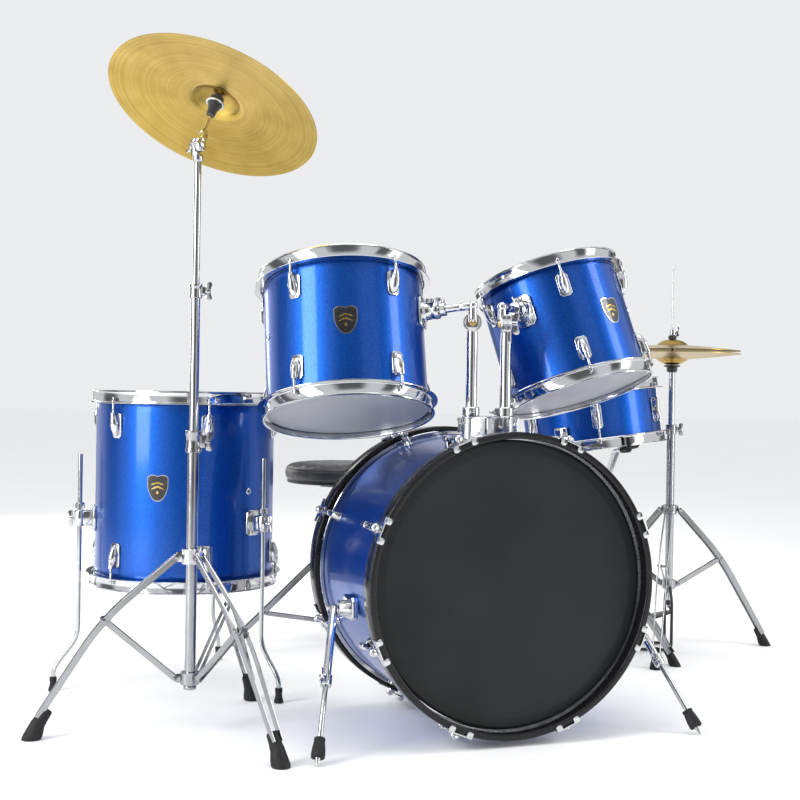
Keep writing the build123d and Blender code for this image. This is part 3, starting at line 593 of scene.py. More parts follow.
def rubber_foot(piece, tread, out, height, size, way):
    """Flared rubber foot that turns from flat on the floor to the line of its leg."""
    across = UP.cross(out)
    top_x = across.cross(way).normalized()
    stations = ((0.0, 0.94, 0), (0.06, 1.0, 0), (0.22, 0.96, 0.1), (0.42, 0.84, 0.4), (0.62, 0.74, 0.8),
                (0.85, 0.66, 1.0), (1.15, 0.62, 1.0), (1.2, 0.56, 1.0))
    rings = []
    for share, scale, lean in stations:
        axis = (out * (1 - lean) + top_x * lean).normalized()
        centre = tread + UP * (height * min(share, 0.62)) + out * (12 * max(0.0, 1 - share / 0.62))
        if share > 0.62:
            centre += way * (height * (share - 0.62) * 1.2)
        rings.append((centre, axis * size * scale, across * size * scale * 0.92))
    piece.loft(rings)


def arched(middle, turn, hip, knee, foot, steps=8):
    """Path of a leg strap, bent smoothly at its knee."""
    out = heading(turn)
    corners = [middle + out * r + UP * z for r, z in (hip, knee, foot)]
    return rounded(corners, 70, steps)


def leg_straps(piece, middle, turn, hip, knee, foot):
    """Pair of straps that bow apart at the knee, with their rivets."""
    across = UP.cross(heading(turn))
    path = arched(middle, turn, hip, knee, foot)
    runs = [0.0]
    for a, b in zip(path, path[1:]):
        runs.append(runs[-1] + (b - a).length)
    for side in (-1, 1):
        bow = [side * (8.6 + 3.0 * sin(pi * run / runs[-1])) for run in runs]
        piece.ribbon(path, across, 12.5, 2.4, bow)
    top = path[0]
    piece.bar(top - across * 12, top + across * 12, 3.3, 1.0, 20)
    for side in (-1, 1):
        piece.disc(placed(top + across * side * 10.2, across * side), 5.6, 0, 2.2, 0.8, 24)
        knee_point = middle + heading(turn) * (knee[0] - 2) + UP * (knee[1] - 2)
        piece.disc(placed(knee_point + across * side * 12.6, across * side), 4.8, 0, 2.0, 0.8, 24)


def brace_straps(piece, middle, turn, root, knee):
    """Pair of flat braces from the lower collar to a leg, with their rivets."""
    out = heading(turn)
    across = UP.cross(out)
    low, high = (middle + out * r + UP * z for r, z in (root, knee))
    for side in (-1, 1):
        path = [low + (high - low) * (k / 8) for k in range(9)]
        piece.ribbon(path, across, 11, 1.9, [side * 5.5] * 9)
        piece.disc(placed(low + across * side * 5.6, across * side), 5.5, 0, 1.0, 0.3, 24)
        piece.disc(placed(high + across * side * 5.6, across * side), 5.5, 0, 1.0, 0.3, 24)
    piece.bar(low - across * 6.6, low + across * 6.6, 3, 0.6, 20)
    piece.bar(high - across * 6.6, high + across * 6.6, 3, 0.6, 20)


def tripod(metal, rubbers, middle, first_turn, hip, knee, foot, root, foot_size):
    """Three legs, braces and feet of a stand whose tripod stays open."""
    for number in range(3):
        turn = first_turn + 120 * number
        leg_straps(metal, middle, turn, hip, knee, foot)
        brace_straps(metal, middle, turn, root, (knee[0] - 8, knee[1] - 4))
        add_foot(rubbers, middle, turn, knee, foot, foot_size)


def add_foot(rubbers, middle, turn, knee, foot, foot_size):
    """Rubber foot at the end of one leg."""
    out = heading(turn)
    way = (out * (knee[0] - foot[0]) + UP * (knee[1] - foot[1])).normalized()
    rubber_foot(rubbers, middle + out * foot[0], out, foot[1] + 4, foot_size, way)


def tube(piece, base, low, high, radius, bore):
    """Upright tube, open at both ends."""
    piece.lathe(placed(base, UP), [(bore, low), (radius - 0.5, low), (radius, low + 0.5),
                                   (radius, high - 0.5), (radius - 0.5, high), (bore, high), (bore, low)],
                                   36)


def chain(piece, top, bottom, across, pitch=7.6):
    """Roller chain hanging from top to bottom, its pins along a direction."""
    drop = bottom - top
    count = max(2, int(round(drop.length / pitch)))
    step = drop / count
    along = step.normalized()
    half = step.length / 2
    for k in range(count):
        middle = top + step * (k + 0.5)
        spread = 3.4 if k % 2 else 2.3
        outline = [(half + 1.9 * cos(pi * (j / 6 - 0.5)), 1.9 * sin(pi * (j / 6 - 0.5))) for j in range(7)]
        outline += [(-x, -y) for x, y in outline]
        for side in (-1, 1):
            piece.prism(placed(middle + across * (side * spread), across, along), outline, -0.45, 0.45, 0.2)
        piece.bar(top + step * k - across * 4.2, top + step * k + across * 4.2, 1.2, 0.2, 12)


# ------------------------------------------------------------------ drums

class Drum:
    """Where a drum is and its sizes, as in the CAD design."""

    def __init__(self, centre, axis, badge_turn, shell_radius, depth, lugs, lug_turn):
        self.frame = placed(centre, axis, heading(badge_turn))
        self.x, self.y, self.z = (Vector(self.frame.col[i][:3]) for i in range(3))
        self.origin = Vector(centre)
        self.radius = shell_radius
        self.depth = depth
        self.angles = [lug_turn + 360 / lugs * k for k in range(lugs)]

    def spoke(self, turn):
        return self.x * cos(radians(turn)) + self.y * sin(radians(turn))

    def point(self, turn, radius, height):
        return self.origin + self.spoke(turn) * radius + self.z * height

    def end(self, side):
        """Frame at one end of the shell, its Z out of the drum."""
        outward = self.z * side
        return placed(self.origin + outward * (self.depth / 2), outward, self.x)

    def on_shell(self, turn, height, side=1):
        """Frame on the shell: Z outwards, Y along the axis to the nearer end."""
        y = self.z * side
        z = self.spoke(turn)
        x = y.cross(z)
        matrix = Matrix((x, y, z)).transposed().to_4x4()
        return Matrix.Translation(self.point(turn, self.radius, height)) @ matrix


def shell(drum, wall, name, body, steps=144):
    """Wrapped shell: an open cylinder with bearing edges."""
    piece = Piece()
    half, r = drum.depth / 2, drum.radius
    rows = [-half + drum.depth * k / 12 for k in range(1, 12)]
    profile = [(r - wall, -half + 2), (r - wall + 2, -half), (r - 0.8, -half), (r, -half + 0.8)]
    profile += [(r, z) for z in rows]
    profile += [(r, half - 0.8), (r - 0.8, half), (r - wall + 2, half), (r - wall, half - 2)]
    profile += [(r - wall, z) for z in reversed(rows)]
    profile.append(profile[0])
    piece.lathe(drum.frame, profile, steps)
    return piece.done(name + "_wrap", WRAP, body, (name + "_shell",), "blue_wrap", 60)


def steel_hoops(drum, name, body):
    """Rolled steel hoops with a flange below and a folded lip above."""
    piece = Piece()
    r = drum.radius
    loop = [(r + 5.5, -13.4), (r + 6.8, -15), (r + 18.4, -15), (r + 19, -14.3), (r + 18.8, -13),
            (r + 17.8, -12.6), (r + 9.8, -12.5), (r + 8.2, -11.4), (r + 7.8, -9.8), (r + 7.8, 7.6),
            (r + 8.6, 9.6), (r + 10.8, 10.3), (r + 11.8, 11.3), (r + 11.4, 12.6), (r + 10, 13),
            (r + 7.2, 12.9), (r + 5.9, 12), (r + 5.5, 10.4), (r + 5.5, -1), (r + 1.6, -1), (r + 1.6, -3),
            (r + 5.5, -3), (r + 5.5, -13.4)]
    for side in (1, -1):
        piece.lathe(drum.end(side), loop, 144)
    piece.done(name + "_hoop_steel", CHROME, body, (name + "_hoops",), "chrome", 42)


def drum_film(drum, side, name, material, body, replaces, slot):
    """Film with its collar turned down over the shell's edge."""
    piece = Piece()
    r = drum.radius
    piece.lathe(drum.end(side), [(0, 0.85), (r * 0.5, 0.82), (r - 14, 0.8), (r - 3, 0.75), (r + 0.4, 0.5),
                                 (r + 1.05, -0.4), (r + 1.1, -8), (r + 0.3, -8), (r + 0.3, -0.1),
                                 (r - 1.0, 0.02), (r - 14, 0.02), (r * 0.5, 0.02), (0, 0.02)], 144)
    return piece.done(name, material, body, replaces, slot, 50)


def flesh_rings(drum, name, body, out, low, high, sides=(1, -1)):
    """Metal ring that holds each film."""
    piece = Piece()
    r = drum.radius
    for side in sides:
        piece.lathe(drum.end(side), [(r + 1.2, low), (r + out - 0.8, low), (r + out, low + 0.8),
                                     (r + out, high - 0.8), (r + out - 0.8, high), (r + 1.2, high),
                                     (r + 1.2, low)], 144)
    piece.done(name, CHROME, body, (), "chrome")


def dress(drum, name, body):
    """Steel hoops, metal rings and both films of one drum."""
    steel_hoops(drum, name, body)
    flesh_rings(drum, f"{name}_flesh_rings", body, 5.2, -12, -3.4)
    drum_film(drum, 1, f"{name}_batter_film", COATED, body, (f"{name}_heads",), "clear_film")
    drum_film(drum, -1, f"{name}_bottom_film", HAZE, body, (), "clear_film")


HOOP_FOOT, FLANGE = -15.0, 2.3


def lug(piece, base, length, end_gap):
    """Cast lug on its clipped base plate, with the tension rod, washer and square screw.
    The frame is on the shell at the lug's middle, Y towards the nearer end."""
    h = length / 2
    piece.prism(base, clipped(13.5, h, 5.5), -0.4, 3.6, 1.1)
    s = length / 50
    piece.dome(shifted(base, z=2.8), [(-22 * s, 1.0, 1.2), (-20 * s, 4.6, 5.2), (-15 * s, 7.6, 9.6),
                                      (-8 * s, 9.6, 13.2), (0, 10.6, 15.6), (8 * s, 10.2, 16.4),
                                      (14 * s, 8.8, 16.2), (19 * s, 7.4, 16.0), (23 * s, 6.6, 15.2),
                                      (24.6 * s, 5.4, 14.0)])
    piece.disc(shifted(base, y=0, z=13.5) @ Matrix.Rotation(-pi / 2, 4, "X"), 5.6, 10 * s, 25.5 * s, 0.8,
               24)
    top = h + end_gap + HOOP_FOOT + FLANGE
    rod = shifted(base, z=13.5) @ Matrix.Rotation(-pi / 2, 4, "X")
    piece.disc(rod, 2.8, 24 * s, top + 0.5, 0.3, 18)
    square_screw(piece, shifted(rod, z=top), 7.6, 9.6)


def all_lugs(piece, drum, end_gap, length):
    """Every lug of a drum with two heads."""
    middle = drum.depth / 2 - end_gap - length / 2
    for side in (1, -1):
        for turn in drum.angles:
            lug(piece, drum.on_shell(turn, side * middle, side), length, end_gap)


def curved_plate(piece, drum, base, columns, low, high):
    """Thin plate bent round a shell: columns are (x, bottom, top)."""
    r = drum.radius
    sections = []
    for x, bottom, top in columns:
        def on(y, z):
            turn = x / r
            return base @ Vector(((r + z) * sin(turn), y, (r + z) * cos(turn) - r))
        middle = (bottom + top) / 2
        sections.append([on(bottom, low), on(middle, low), on(top, low), on(top, high), on(middle, high),
                         on(bottom, high)])
    piece.skin(sections)


def shield_columns(scale):
    """Shield outline: two shallow lobes above, a point below."""
    columns = []
    for k in range(25):
        x = -1 + k / 12
        edge = min(abs(x), 0.999)
        top = 25 + 3.0 * abs(sin(pi * x)) - 2.5 * edge ** 6
        bottom = -29 + 30 * edge ** 2.6
        columns.append((x * 23 * scale, bottom * scale, top * scale))
    return columns


def badge(drum, name, body, height=0.0):
    """Shield badge: silver border, black enamel and a plain gold device without letters."""
    base = drum.on_shell(0, height)
    rim, field, mark = Piece(), Piece(), Piece()
    curved_plate(rim, drum, base, shield_columns(1.0), -0.2, 1.3)
    curved_plate(field, drum, base, shield_columns(0.93), 1.0, 1.6)
    curved_plate(mark, drum, base, [(x, 10 - abs(x) * 0.35, 13 - abs(x) * 0.35) for x in range(-13, 14, 2)],
                 1.3, 1.9)
    curved_plate(mark, drum, base, [(x, 1 - abs(x) * 0.35, 5.5 - abs(x) * 0.55) for x in range(-13, 14, 2)],
                 1.3, 1.9)
    curved_plate(mark, drum, base, [(x * 0.9, -14 + abs(x),
                                     -6 - abs(x)) for x in (-4, -3, -2, -1, 0, 1, 2, 3, 4)],
                 1.3, 1.9)
    rim.done(name + "_badge_rim", CHROME, body, (), "chrome")
    field.done(name + "_badge_field", ENAMEL, body, (), "chrome")
    mark.done(name + "_badge_mark", BOLT, body, (), "chrome")


def grommet(piece, drum, turn, height):
    """Vent eyelet."""
    piece.lathe(drum.on_shell(turn, height), [(3.2, -0.5), (7.0, -0.5), (7.2, 0.8), (6.2, 1.8), (4.2, 1.8),
                                             (3.2, 0.9), (3.2, -0.5)], 32)


# ------------------------------------------------------------------ bass drum

bass = Drum(kit(0, 0, BASS_Z), (0, -1, 0), 0, 277.0, 14 * INCH, 8, 22.5)
HALF = bass.depth / 2
HOOP_IN, HOOP_OUT = 281.0, 294.0
POST_X, POST_Y, POST_R = 37.0, -55.0, 11.0

bass_wrap = shell(bass, 8, "bass", "bass_drum", 192)
cutters = Piece()
for side in (-1, 1):
    cutters.disc(placed(kit(side * POST_X, POST_Y, BASS_Z), UP), POST_R + 3, 200, 300)
cutter_mesh = bpy.data.meshes.new("post_holes")
bmesh.ops.recalc_face_normals(cutters.bm, faces=cutters.bm.faces[:])
cutters.bm.transform(Matrix.Scale(MM, 4))
cutters.bm.to_mesh(cutter_mesh)
cutters.bm.free()
cutter = bpy.data.objects.new("post_holes", cutter_mesh)
scene.collection.objects.link(cutter)
holes = bass_wrap.modifiers.new("holes", "BOOLEAN")
holes.operation = "DIFFERENCE"
holes.object = cutter
bpy.context.view_layer.update()
cut = bpy.data.meshes.new_from_object(bass_wrap.evaluated_get(bpy.context.evaluated_depsgraph_get()))
bass_wrap.modifiers.clear()
bass_wrap.data = cut
bpy.data.objects.remove(cutter)

hoops = Piece()
for side in (1, -1):
    a, b = HOOP_IN, HOOP_OUT
    hoops.lathe(bass.end(side), [(a, -8), (a + 1, -9), (b - 2.5, -9), (b - 0.7, -8.3), (b, -6.5), (b, 27.5),
                                 (b - 0.7, 29.3), (b - 2.5, 30), (a + 2.5, 30), (a + 0.7, 29.3), (a, 27.5),
                                 (a, -8)], 192)
hoops.done("bass_hoop_rings", HOOP, "bass_drum", ("bass_hoops",), "black_hoop", 50)

flesh_rings(bass, "bass_flesh_rings", "bass_drum", 8.0, -22.0, -9.2)
for side, name, material in ((1, "front", BLACK_FILM), (-1, "batter", COATED)):
    piece = Piece()
    r = bass.radius
    piece.lathe(bass.end(side), [(0, 1.0), (r * 0.5, 1.0), (r - 26, 0.95), (r - 22, 1.5), (r - 18, 0.95),
                                 (r - 5, 0.9), (r + 0.3, 0.5), (r + 1.1, -0.6), (r + 1.1, -12),
                                 (r + 0.3, -12), (r + 0.3, -0.2), (r - 1, 0.03), (r * 0.5, 0.03),
                                 (0, 0.03)], 192)
    piece.done(f"bass_{name}_film", material, "bass_drum", (f"bass_{name}_head",),
               "black_film" if side > 0 else "clear_film", 50)

claws, bass_rods, bass_lugs = Piece(), Piece(), Piece()
for side in (1, -1):
    for turn in bass.angles:
        spoke = bass.spoke(turn)
        outward = bass.z * side
        strap = placed(bass.point(turn, HOOP_OUT + GAP, side * HALF), spoke, outward.cross(spoke))
        outline = [(-11, -8), (-9, -10), (9, -10), (11, -8), (12, 8), (16, 15), (24, 17), (26, 20),
                   (26, 32), (25, 33.4), (-25, 33.4), (-26, 32), (-26, 20), (-24, 17), (-16, 15), (-12, 8)]
        claws.prism(strap, outline, 0, 3.0, 0.9)
        claws.dome(shifted(strap, z=2.4),
                   [(-9, 5, 1.5), (-4, 8, 4.5), (4, 9, 6), (14, 8, 4.5), (20, 5, 1.5)])
        for across in (-1, 1):
            prong = [(-6.5, 3), (-6.5, -7.5), (-4.5, -9.6), (0, -10.4), (4.5, -9.6), (6.5, -7.5), (6.5, 3)]
            front = placed(bass.point(turn, HOOP_OUT, side * (HALF + 31.0)), outward, outward.cross(spoke))
            lift = 1 if front.col[1].to_3d().dot(spoke) > 0 else -1
            claws.prism(shifted(front, x=across * 19.5), [(x, y * lift) for x, y in prong], 0, 2.6, 0.8)
        boss = placed(bass.point(turn, 302, side * (HALF + 2)), outward)
        claws.lathe(boss, [(0, 0), (6.5, 0), (8, 1.5), (8, 10.5), (6.8, 12), (0, 12)], 28)
        bass_rods.lathe(boss, [(0, 11), (5.9, 11), (5.9, 13.5), (4.6, 14.5), (4.6, 20), (4.0, 22.5),
                               (2.4, 24), (0, 24)], 24)
        low = bass.point(turn, 301, side * (HALF - 62))
        bass_rods.bar(low, bass.point(turn, 302, side * (HALF + 4)), 3.0)
        base = bass.on_shell(turn, side * (HALF - 60), side)
        plate = [(9.5 * cos(pi * k / 10), 15 * sin(pi * k / 10)) for k in range(20)]
        bass_lugs.prism(base, plate, -0.3, 3.0, 1.0)
        bass_lugs.dome(shifted(base, z=2),
                       [(-13, 1.5, 2), (-10, 5.5, 8), (-4, 8.0, 15), (3, 8.6, 20), (9, 8.0, 24),
                                            (13, 7.0, 26.5), (14.5, 5.5, 26)])
        bass_lugs.disc(shifted(base, z=24) @ Matrix.Rotation(-pi / 2, 4, "X"), 6.2, -4, 15, 1.0, 24)
claws.done("bass_claws", CHROME, "bass_drum", ("bass_tension_sets",), "chrome")
bass_rods.done("bass_rods", CHROME, "bass_drum", (), "chrome")
bass_lugs.done("bass_lug_castings", CHROME, "bass_drum", (), "chrome", 50)

# ------------------------------------------------------------------ spurs

brackets = Piece()
for name, side in (("left", -1), ("right", 1)):
    pivot = kit(side * 314, -45, 252)
    tip = kit(side * 396, -228, 0.93)
    along = (tip - pivot).normalized()
    hinge = along.cross(UP).normalized()
    hinge = hinge if hinge.x * side > 0 else -hinge
    out = Vector((side, 0, 0))
    plate = placed(kit(side * 281.5, -45, 252), out, UP)
    brackets.prism(plate, clipped(22, 31, 6), -8, 6, 3)
    for dy in (-22, 22):
        brackets.disc(placed(kit(side * 287, -45 + dy, 252), out), 4.5, 0, 3.5, 1.2, 20)
    start, end = pivot - hinge * 36, pivot - hinge * 8.3
    brackets.lathe(placed(start, hinge),
                   [(0, 0), (14, 0), (16, 2), (16, 19), (14.5, 21), (14.5, 24), (16, 25.5),
                                          (16, 27), (15.3, 27.7), (0, 27.7)], 40)
    brackets.bar(pivot - hinge * 20, pivot + hinge * 14, 3)
    hex_nut(brackets, placed(pivot + hinge * 9.6, hinge), 11, 4.5)

    piece = Piece()
    mouth = pivot + along * 165
    sleeve = placed(pivot, along)
    piece.lathe(sleeve, [(0, -8.1), (4.5, -6.7), (7, -4), (8, 0), (8, 142), (9.5, 142.6), (11, 144),
                         (11, 163.5), (9.8, 165), (5.05, 165), (5.05, 14), (0, 13)], 36)
    piece.box(shifted(sleeve, x=0, z=154) @ Matrix.Rotation(pi / 2, 4, "Y"), (18, 10, 30), 2.5)
    wing(piece, placed(mouth - along * 11 + Vector(sleeve.col[0][:3]) * 14, sleeve.col[0][:3], along), 32,
         9)
    piece.done(f"{name}_spur_sleeve", CHROME, f"{name}_spur", (f"{name}_spur_tube",), "chrome")

    spike = tip - along * 12
    rod, foot = Piece(), Piece()
    rod.bar(pivot + along * 70, spike, 5.0)
    rod.lathe(placed(spike, along), [(0, 0), (4, 0), (4, 1.5), (1.5, 11.4), (0, 12)], 24)
    foot.lathe(placed(spike - along * 42, along),
               [(5.0, 0), (9.5, 0), (10.5, 1), (10.5, 5), (9.6, 6), (10.6, 9),
                                                   (12.4, 22), (13, 32), (12.6, 37), (11, 38), (5.0, 38),
                                                   (5.0, 0)], 36)
    rod.done(f"{name}_spur_rod_steel", TUBE, f"{name}_spur_rod", (f"{name}_spur_leg",), "chrome")
    foot.done(f"{name}_spur_rubber", RUBBER, f"{name}_spur_rod", (), "painted_black")
brackets.done("bass_spur_castings", CHROME, "bass_drum", ("bass_spur_brackets",), "chrome")

# ------------------------------------------------------------------ tom mount

mount = Piece()
MOUNT_TOP = 627.0
mount.box(placed(kit(0, POST_Y, MOUNT_TOP - 22), UP), (104, 38, 44), 5, 3)
plate = Piece()
saddle = bass.on_shell(90, -POST_Y)
columns = [(x, -28 - 3 * (1 - (x / 62) ** 2), 28 + 3 * (1 - (x / 62) ** 2)) for x in range(-60, 61, 5)]
curved_plate(plate, bass, saddle, columns, -0.2, 4.0)
plate.done("tom_mount_saddle", CHROME, "bass_drum", (), "chrome")
for side in (-1, 1):
    foot = placed(kit(side * POST_X, POST_Y, 0), UP)
    mount.lathe(foot, [(11.05, 564), (16.5, 564), (17, 565), (17, 622), (18.2, 623), (18.2, 625.6),
                       (17, 627), (11.05, 627), (11.05, 564)], 40)
    screw = placed(kit(side * 51, POST_Y, MOUNT_TOP - 18), (side, 0, 0), UP)
    mount.disc(screw, 7, 0, 5, 1.0)
    wing(mount, shifted(screw, z=3), 30, 9)
    mount.disc(placed(kit(side * 18, POST_Y - 19, MOUNT_TOP - 22), (0, -1, 0)), 4.5, -0.5, 2.0, 0.8, 20)
mount.done("tom_mount_casting", CAST, "bass_drum", ("tom_mount_base",), "chrome")

left_tom = Drum(kit(-264, 70, 764.5), (0.027, 0.285, 0.958), -106, 162, 11 * INCH, 5, 36)
right_tom = Drum(kit(235, 88, 801), (-0.187, 0.290, 0.939), -69.5, 149.5, 10 * INCH, 5, 36)
ARM_R, ELBOW_R = 8.0, 8.5

for name, tom, side, hinge in (("left", left_tom, -1, heading(70.7)),
                               ("right", right_tom, 1, heading(-19.3))):
    post = kit(side * POST_X, POST_Y)
    hub = post + UP * 814
    elbow = hub + UP * 34 - hinge * (ELBOW_R + GAP)
    reach = elbow - tom.origin
    height = reach.dot(tom.z)
    flat = reach - tom.z * height
    spoke = flat.normalized()
    mouth = elbow - spoke * (flat.length - tom.radius - 38)

    piece = Piece()
    piece.lathe(placed(post, UP), [(0, 478), (10.4, 478), (11, 478.6), (11, 780), (10.6, 796), (0, 796)],
                40)
    piece.lathe(placed(post, UP), [(11, 627.3), (15.5, 627.3), (17, 628.8), (17, 643.6), (15.8, 645),
                                   (11, 645)], 40)
    piece.box(placed(post + UP * 636 + hinge * -15, UP, hinge), (16, 13, 14), 2.5)
    square_screw(piece, placed(post + UP * 636 - hinge * 22, -hinge), 7, 8)
    neck = placed(hub + hinge * 5.6 - UP * 26, UP, hinge)
    piece.box(shifted(neck, x=-0.2, z=-2), (10.6, 21, 28), 3)
    gear(piece, placed(hub, hinge), 19, GAP / 2, 9.5, 40)
    piece.disc(placed(hub, hinge), 15.5, 9.0, 11, 1.0)
    piece.done(f"{name}_post_tube", CHROME, f"{name}_post", (f"{name}_tom_post",), "chrome")

    piece, pin = Piece(), Piece()
    gear(piece, placed(hub, -hinge), 19, GAP / 2, 9.5, 40)
    piece.disc(placed(hub, -hinge), 15.5, 9.0, 11, 1.0)
    piece.bar(elbow - UP * 34, elbow, ELBOW_R)
    piece.ball(elbow, ELBOW_R + 1.5)
    piece.bar(elbow, elbow - spoke * 26, 8.6, 1.5)
    piece.bar(elbow, elbow - spoke * (flat.length - tom.radius - 4), ARM_R)
    knurl = placed(mouth + spoke * 2, spoke)
    piece.lathe(knurl, [(ARM_R, 0), (12.8, 0), (14, 1.2), (14, 10.8), (12.8, 12), (ARM_R, 12)], 40)
    square_screw(piece, placed(mouth + spoke * 8 + UP * 12.5, UP), 6.5, 8)
    hex_nut(pin, placed(hub - hinge * 11, -hinge), 15, 5)
    pin.bar(hub - hinge * 17, hub + hinge * 16, 5.0)
    wing(piece, placed(hub + hinge * 11.3, hinge, UP), 44, 11)
    piece.done(f"{name}_arm_rod", CHROME, f"{name}_arm", (f"{name}_tom_arm",), "chrome")
    pin.done(f"{name}_arm_bolt", BOLT, f"{name}_arm", (), "chrome")

    body = f"{name}_tom"
    shell(tom, 6, body, body)
    dress(tom, body, body)
    badge(tom, body, body)
    piece = Piece()
    all_lugs(piece, tom, 32, 50)
    grommet(piece, tom, -72 if side < 0 else 36, 8)
    plate = placed(tom.origin + spoke * tom.radius + tom.z * height, spoke, tom.z)
    outline = [(-34, -14), (-25, -22), (25, -22), (34, -14), (34, 14), (25, 22), (-25, 22), (-34, 14)]
    piece.prism(plate, outline, -1.4, 6.5, 1.8)
    piece.lathe(plate, [(8.3, 2), (23, 2), (23, 8), (20, 11), (18, 14), (17.6, 26), (18.4, 28),
                        (18.4, 36.8), (17.4, 38), (8.3, 38), (8.3, 2)], 40)
    for dz in (-27, 27):
        piece.disc(shifted(plate, x=dz, z=6), 4.4, 0, 2.6, 1.0, 20)
    wing(piece, placed(tom.origin + spoke * (tom.radius + 27) + tom.z * (height + 15), tom.z, spoke), 32,
         11)
    piece.done(f"{name}_tom_castings", CHROME, body, (f"{name}_tom_lugs",), "chrome", 45)

# ------------------------------------------------------------------ floor tom

FT_R, LEG_CIRCLE = 199.0, 233.0
floor_tom = Drum(kit(-511, 491, 451), (0, 0, 1), -117, FT_R, 16 * INCH, 6, 30)
middle = kit(-511, 491)
shell(floor_tom, 7, "floor_tom", "floor_tom", 168)
dress(floor_tom, "floor_tom", "floor_tom")
badge(floor_tom, "floor_tom", "floor_tom", 10)
piece = Piece()
all_lugs(piece, floor_tom, 36, 54)
grommet(piece, floor_tom, 60, 0)
LEG_TURNS = (178.0, -54.0, 62.0)
for number, turn in enumerate(LEG_TURNS, start=1):
    out = heading(turn)
    across = UP.cross(out)
    base = placed(middle + out * FT_R + UP * 382, out, UP)
    piece.prism(base, clipped(28, 20, 6), -1.0, 6, 1.6)
    piece.box(shifted(base, z=18), (34, 20, 28), 4, 3)
    rod = middle + out * LEG_CIRCLE + UP * 382
    round_sleeve(piece, placed(rod, UP), 5.06, 12, -17, 17, 1.0, 36)
    wing(piece, placed(rod + out * 10.5, out, UP), 36, 12)
    for dz in (-22, 22):
        piece.disc(shifted(base, x=dz, z=5.6), 4, 0, 2.4, 0.9, 20)

    leg, bell = Piece(), Piece()
    points = [(LEG_CIRCLE, 524), (LEG_CIRCLE, 116), (LEG_CIRCLE + 52, 50), (LEG_CIRCLE + 52, 20)]
    corners = [middle + out * r + UP * z for r, z in points]
    leg.pipe(rounded(corners, 26, 8), 5.0, 20)
    memory = middle + out * LEG_CIRCLE + UP * 404
    leg.lathe(placed(memory, UP), [(5, 0), (9.5, 0), (10.5, 1), (10.5, 11), (9.5, 12), (5, 12)], 32)
    foot = middle + out * (LEG_CIRCLE + 52)
    bell.lathe(placed(foot, UP), [(0, 0), (9, 0), (10, 1), (10, 5), (9.2, 8), (7.6, 14), (7.2, 20),
                                  (8.0, 23), (8.0, 31), (6.5, 32), (0, 32)], 36)
    leg.done(f"floor_tom_rod_{number}", TUBE, f"floor_tom_leg_{number}", (f"floor_tom_leg_{number}",),
             "chrome")
    bell.done(f"floor_tom_rubber_{number}", RUBBER, f"floor_tom_leg_{number}", (), "painted_black")
piece.done("floor_tom_castings", CHROME, "floor_tom", ("floor_tom_lugs",), "chrome", 45)

# ------------------------------------------------------------------ snare drum and its stand

SNARE_DEPTH = 5.5 * INCH
GRIP_Z = -SNARE_DEPTH / 2 - 13 - 8 - GAP
snare = Drum(kit(564, 576, 615), (-0.118, 0.084, 0.989), -143, 174.5, SNARE_DEPTH, 6, 30)
shell(snare, 6, "snare", "snare_drum")
dress(snare, "snare", "snare_drum")
piece, wires = Piece(), Piece()
for turn in snare.angles:
    base = snare.on_shell(turn, 0)
    piece.prism(base, clipped(13.0, 31.0, 5.5), -0.4, 3.6, 1.1)
    piece.dome(shifted(base, z=2.8), [(-29, 4.8, 13), (-27, 6.4, 15), (-20, 8.2, 16.2), (-10, 9.6, 15.8),
                                      (0, 10.4, 14.6), (10, 9.6, 15.8), (20, 8.2, 16.2), (27, 6.4, 15),
                                      (29, 4.8, 13)])
    for side in (1, -1):
        rod = snare.on_shell(turn, 0,
                             side) @ Matrix.Translation((0, 0, 13.5)) @ Matrix.Rotation(-pi / 2, 4, "X")
        piece.disc(rod, 5.6, 16, 31, 0.8, 24)
        top = SNARE_DEPTH / 2 - 12.7
        piece.disc(rod, 2.8, 28, top + 0.5, 0.3, 18)
        square_screw(piece, shifted(rod, z=top), 7.6, 9.6)
strainer = snare.on_shell(180, -8)
piece.box(shifted(strainer, z=8), (34, 66, 18), 4, 3)
piece.box(shifted(strainer, y=16, z=22), (12, 56, 8), 2.5)
piece.disc(placed(snare.point(180, snare.radius + 24, 40), snare.z), 8, -4, 5, 1.0)
butt = snare.on_shell(0, -30)
piece.box(shifted(butt, z=6), (34, 26, 13), 3)
for k in range(20):
    shift = snare.y * (k * 2.2 - 20.9) - snare.z * (SNARE_DEPTH / 2 + 2.2)
    wires.bar(snare.origin + shift - snare.x * 148, snare.origin + shift + snare.x * 148, 0.7, 0.1, 8)
for side in (-1, 1):
    end = placed(snare.origin + snare.x * (side * 154) - snare.z * (SNARE_DEPTH / 2 + 2.2), snare.z,
                 snare.x)
    wires.box(end, (13, 46, 1.8), 0.6)
piece.done("snare_castings", CHROME, "snare_drum", ("snare_lugs",), "chrome", 45)
wires.done("snare_wires", TUBE, "snare_drum", (), "chrome")

hub = snare.point(0, 0, -200)
foot = Vector((hub.x, hub.y, 0))
metal, rubbers = Piece(), Piece()
tube(metal, foot, 70, 300, 12.5, 10.05)
round_sleeve(metal, placed(foot, UP), 10.05, 16, 300, 326, 1.5)
screw_boss(metal, foot + UP * 313, 17, (16, 13, 12), 21, 34, 9)
collar(metal, foot + UP * 214, 26, 20, 12.5, 180)
collar(metal, foot + UP * 78, 22, 20, 12.5, 180)
tripod(metal, rubbers, foot, 180, (28, 227), (140, 122), (212, 30), (28, 89), 15)
metal.done("snare_stand_steel", STEEL, "snare_stand", ("snare_stand_legs",), "chrome")
rubbers.done("snare_stand_feet", RUBBER, "snare_stand", (), "painted_black")

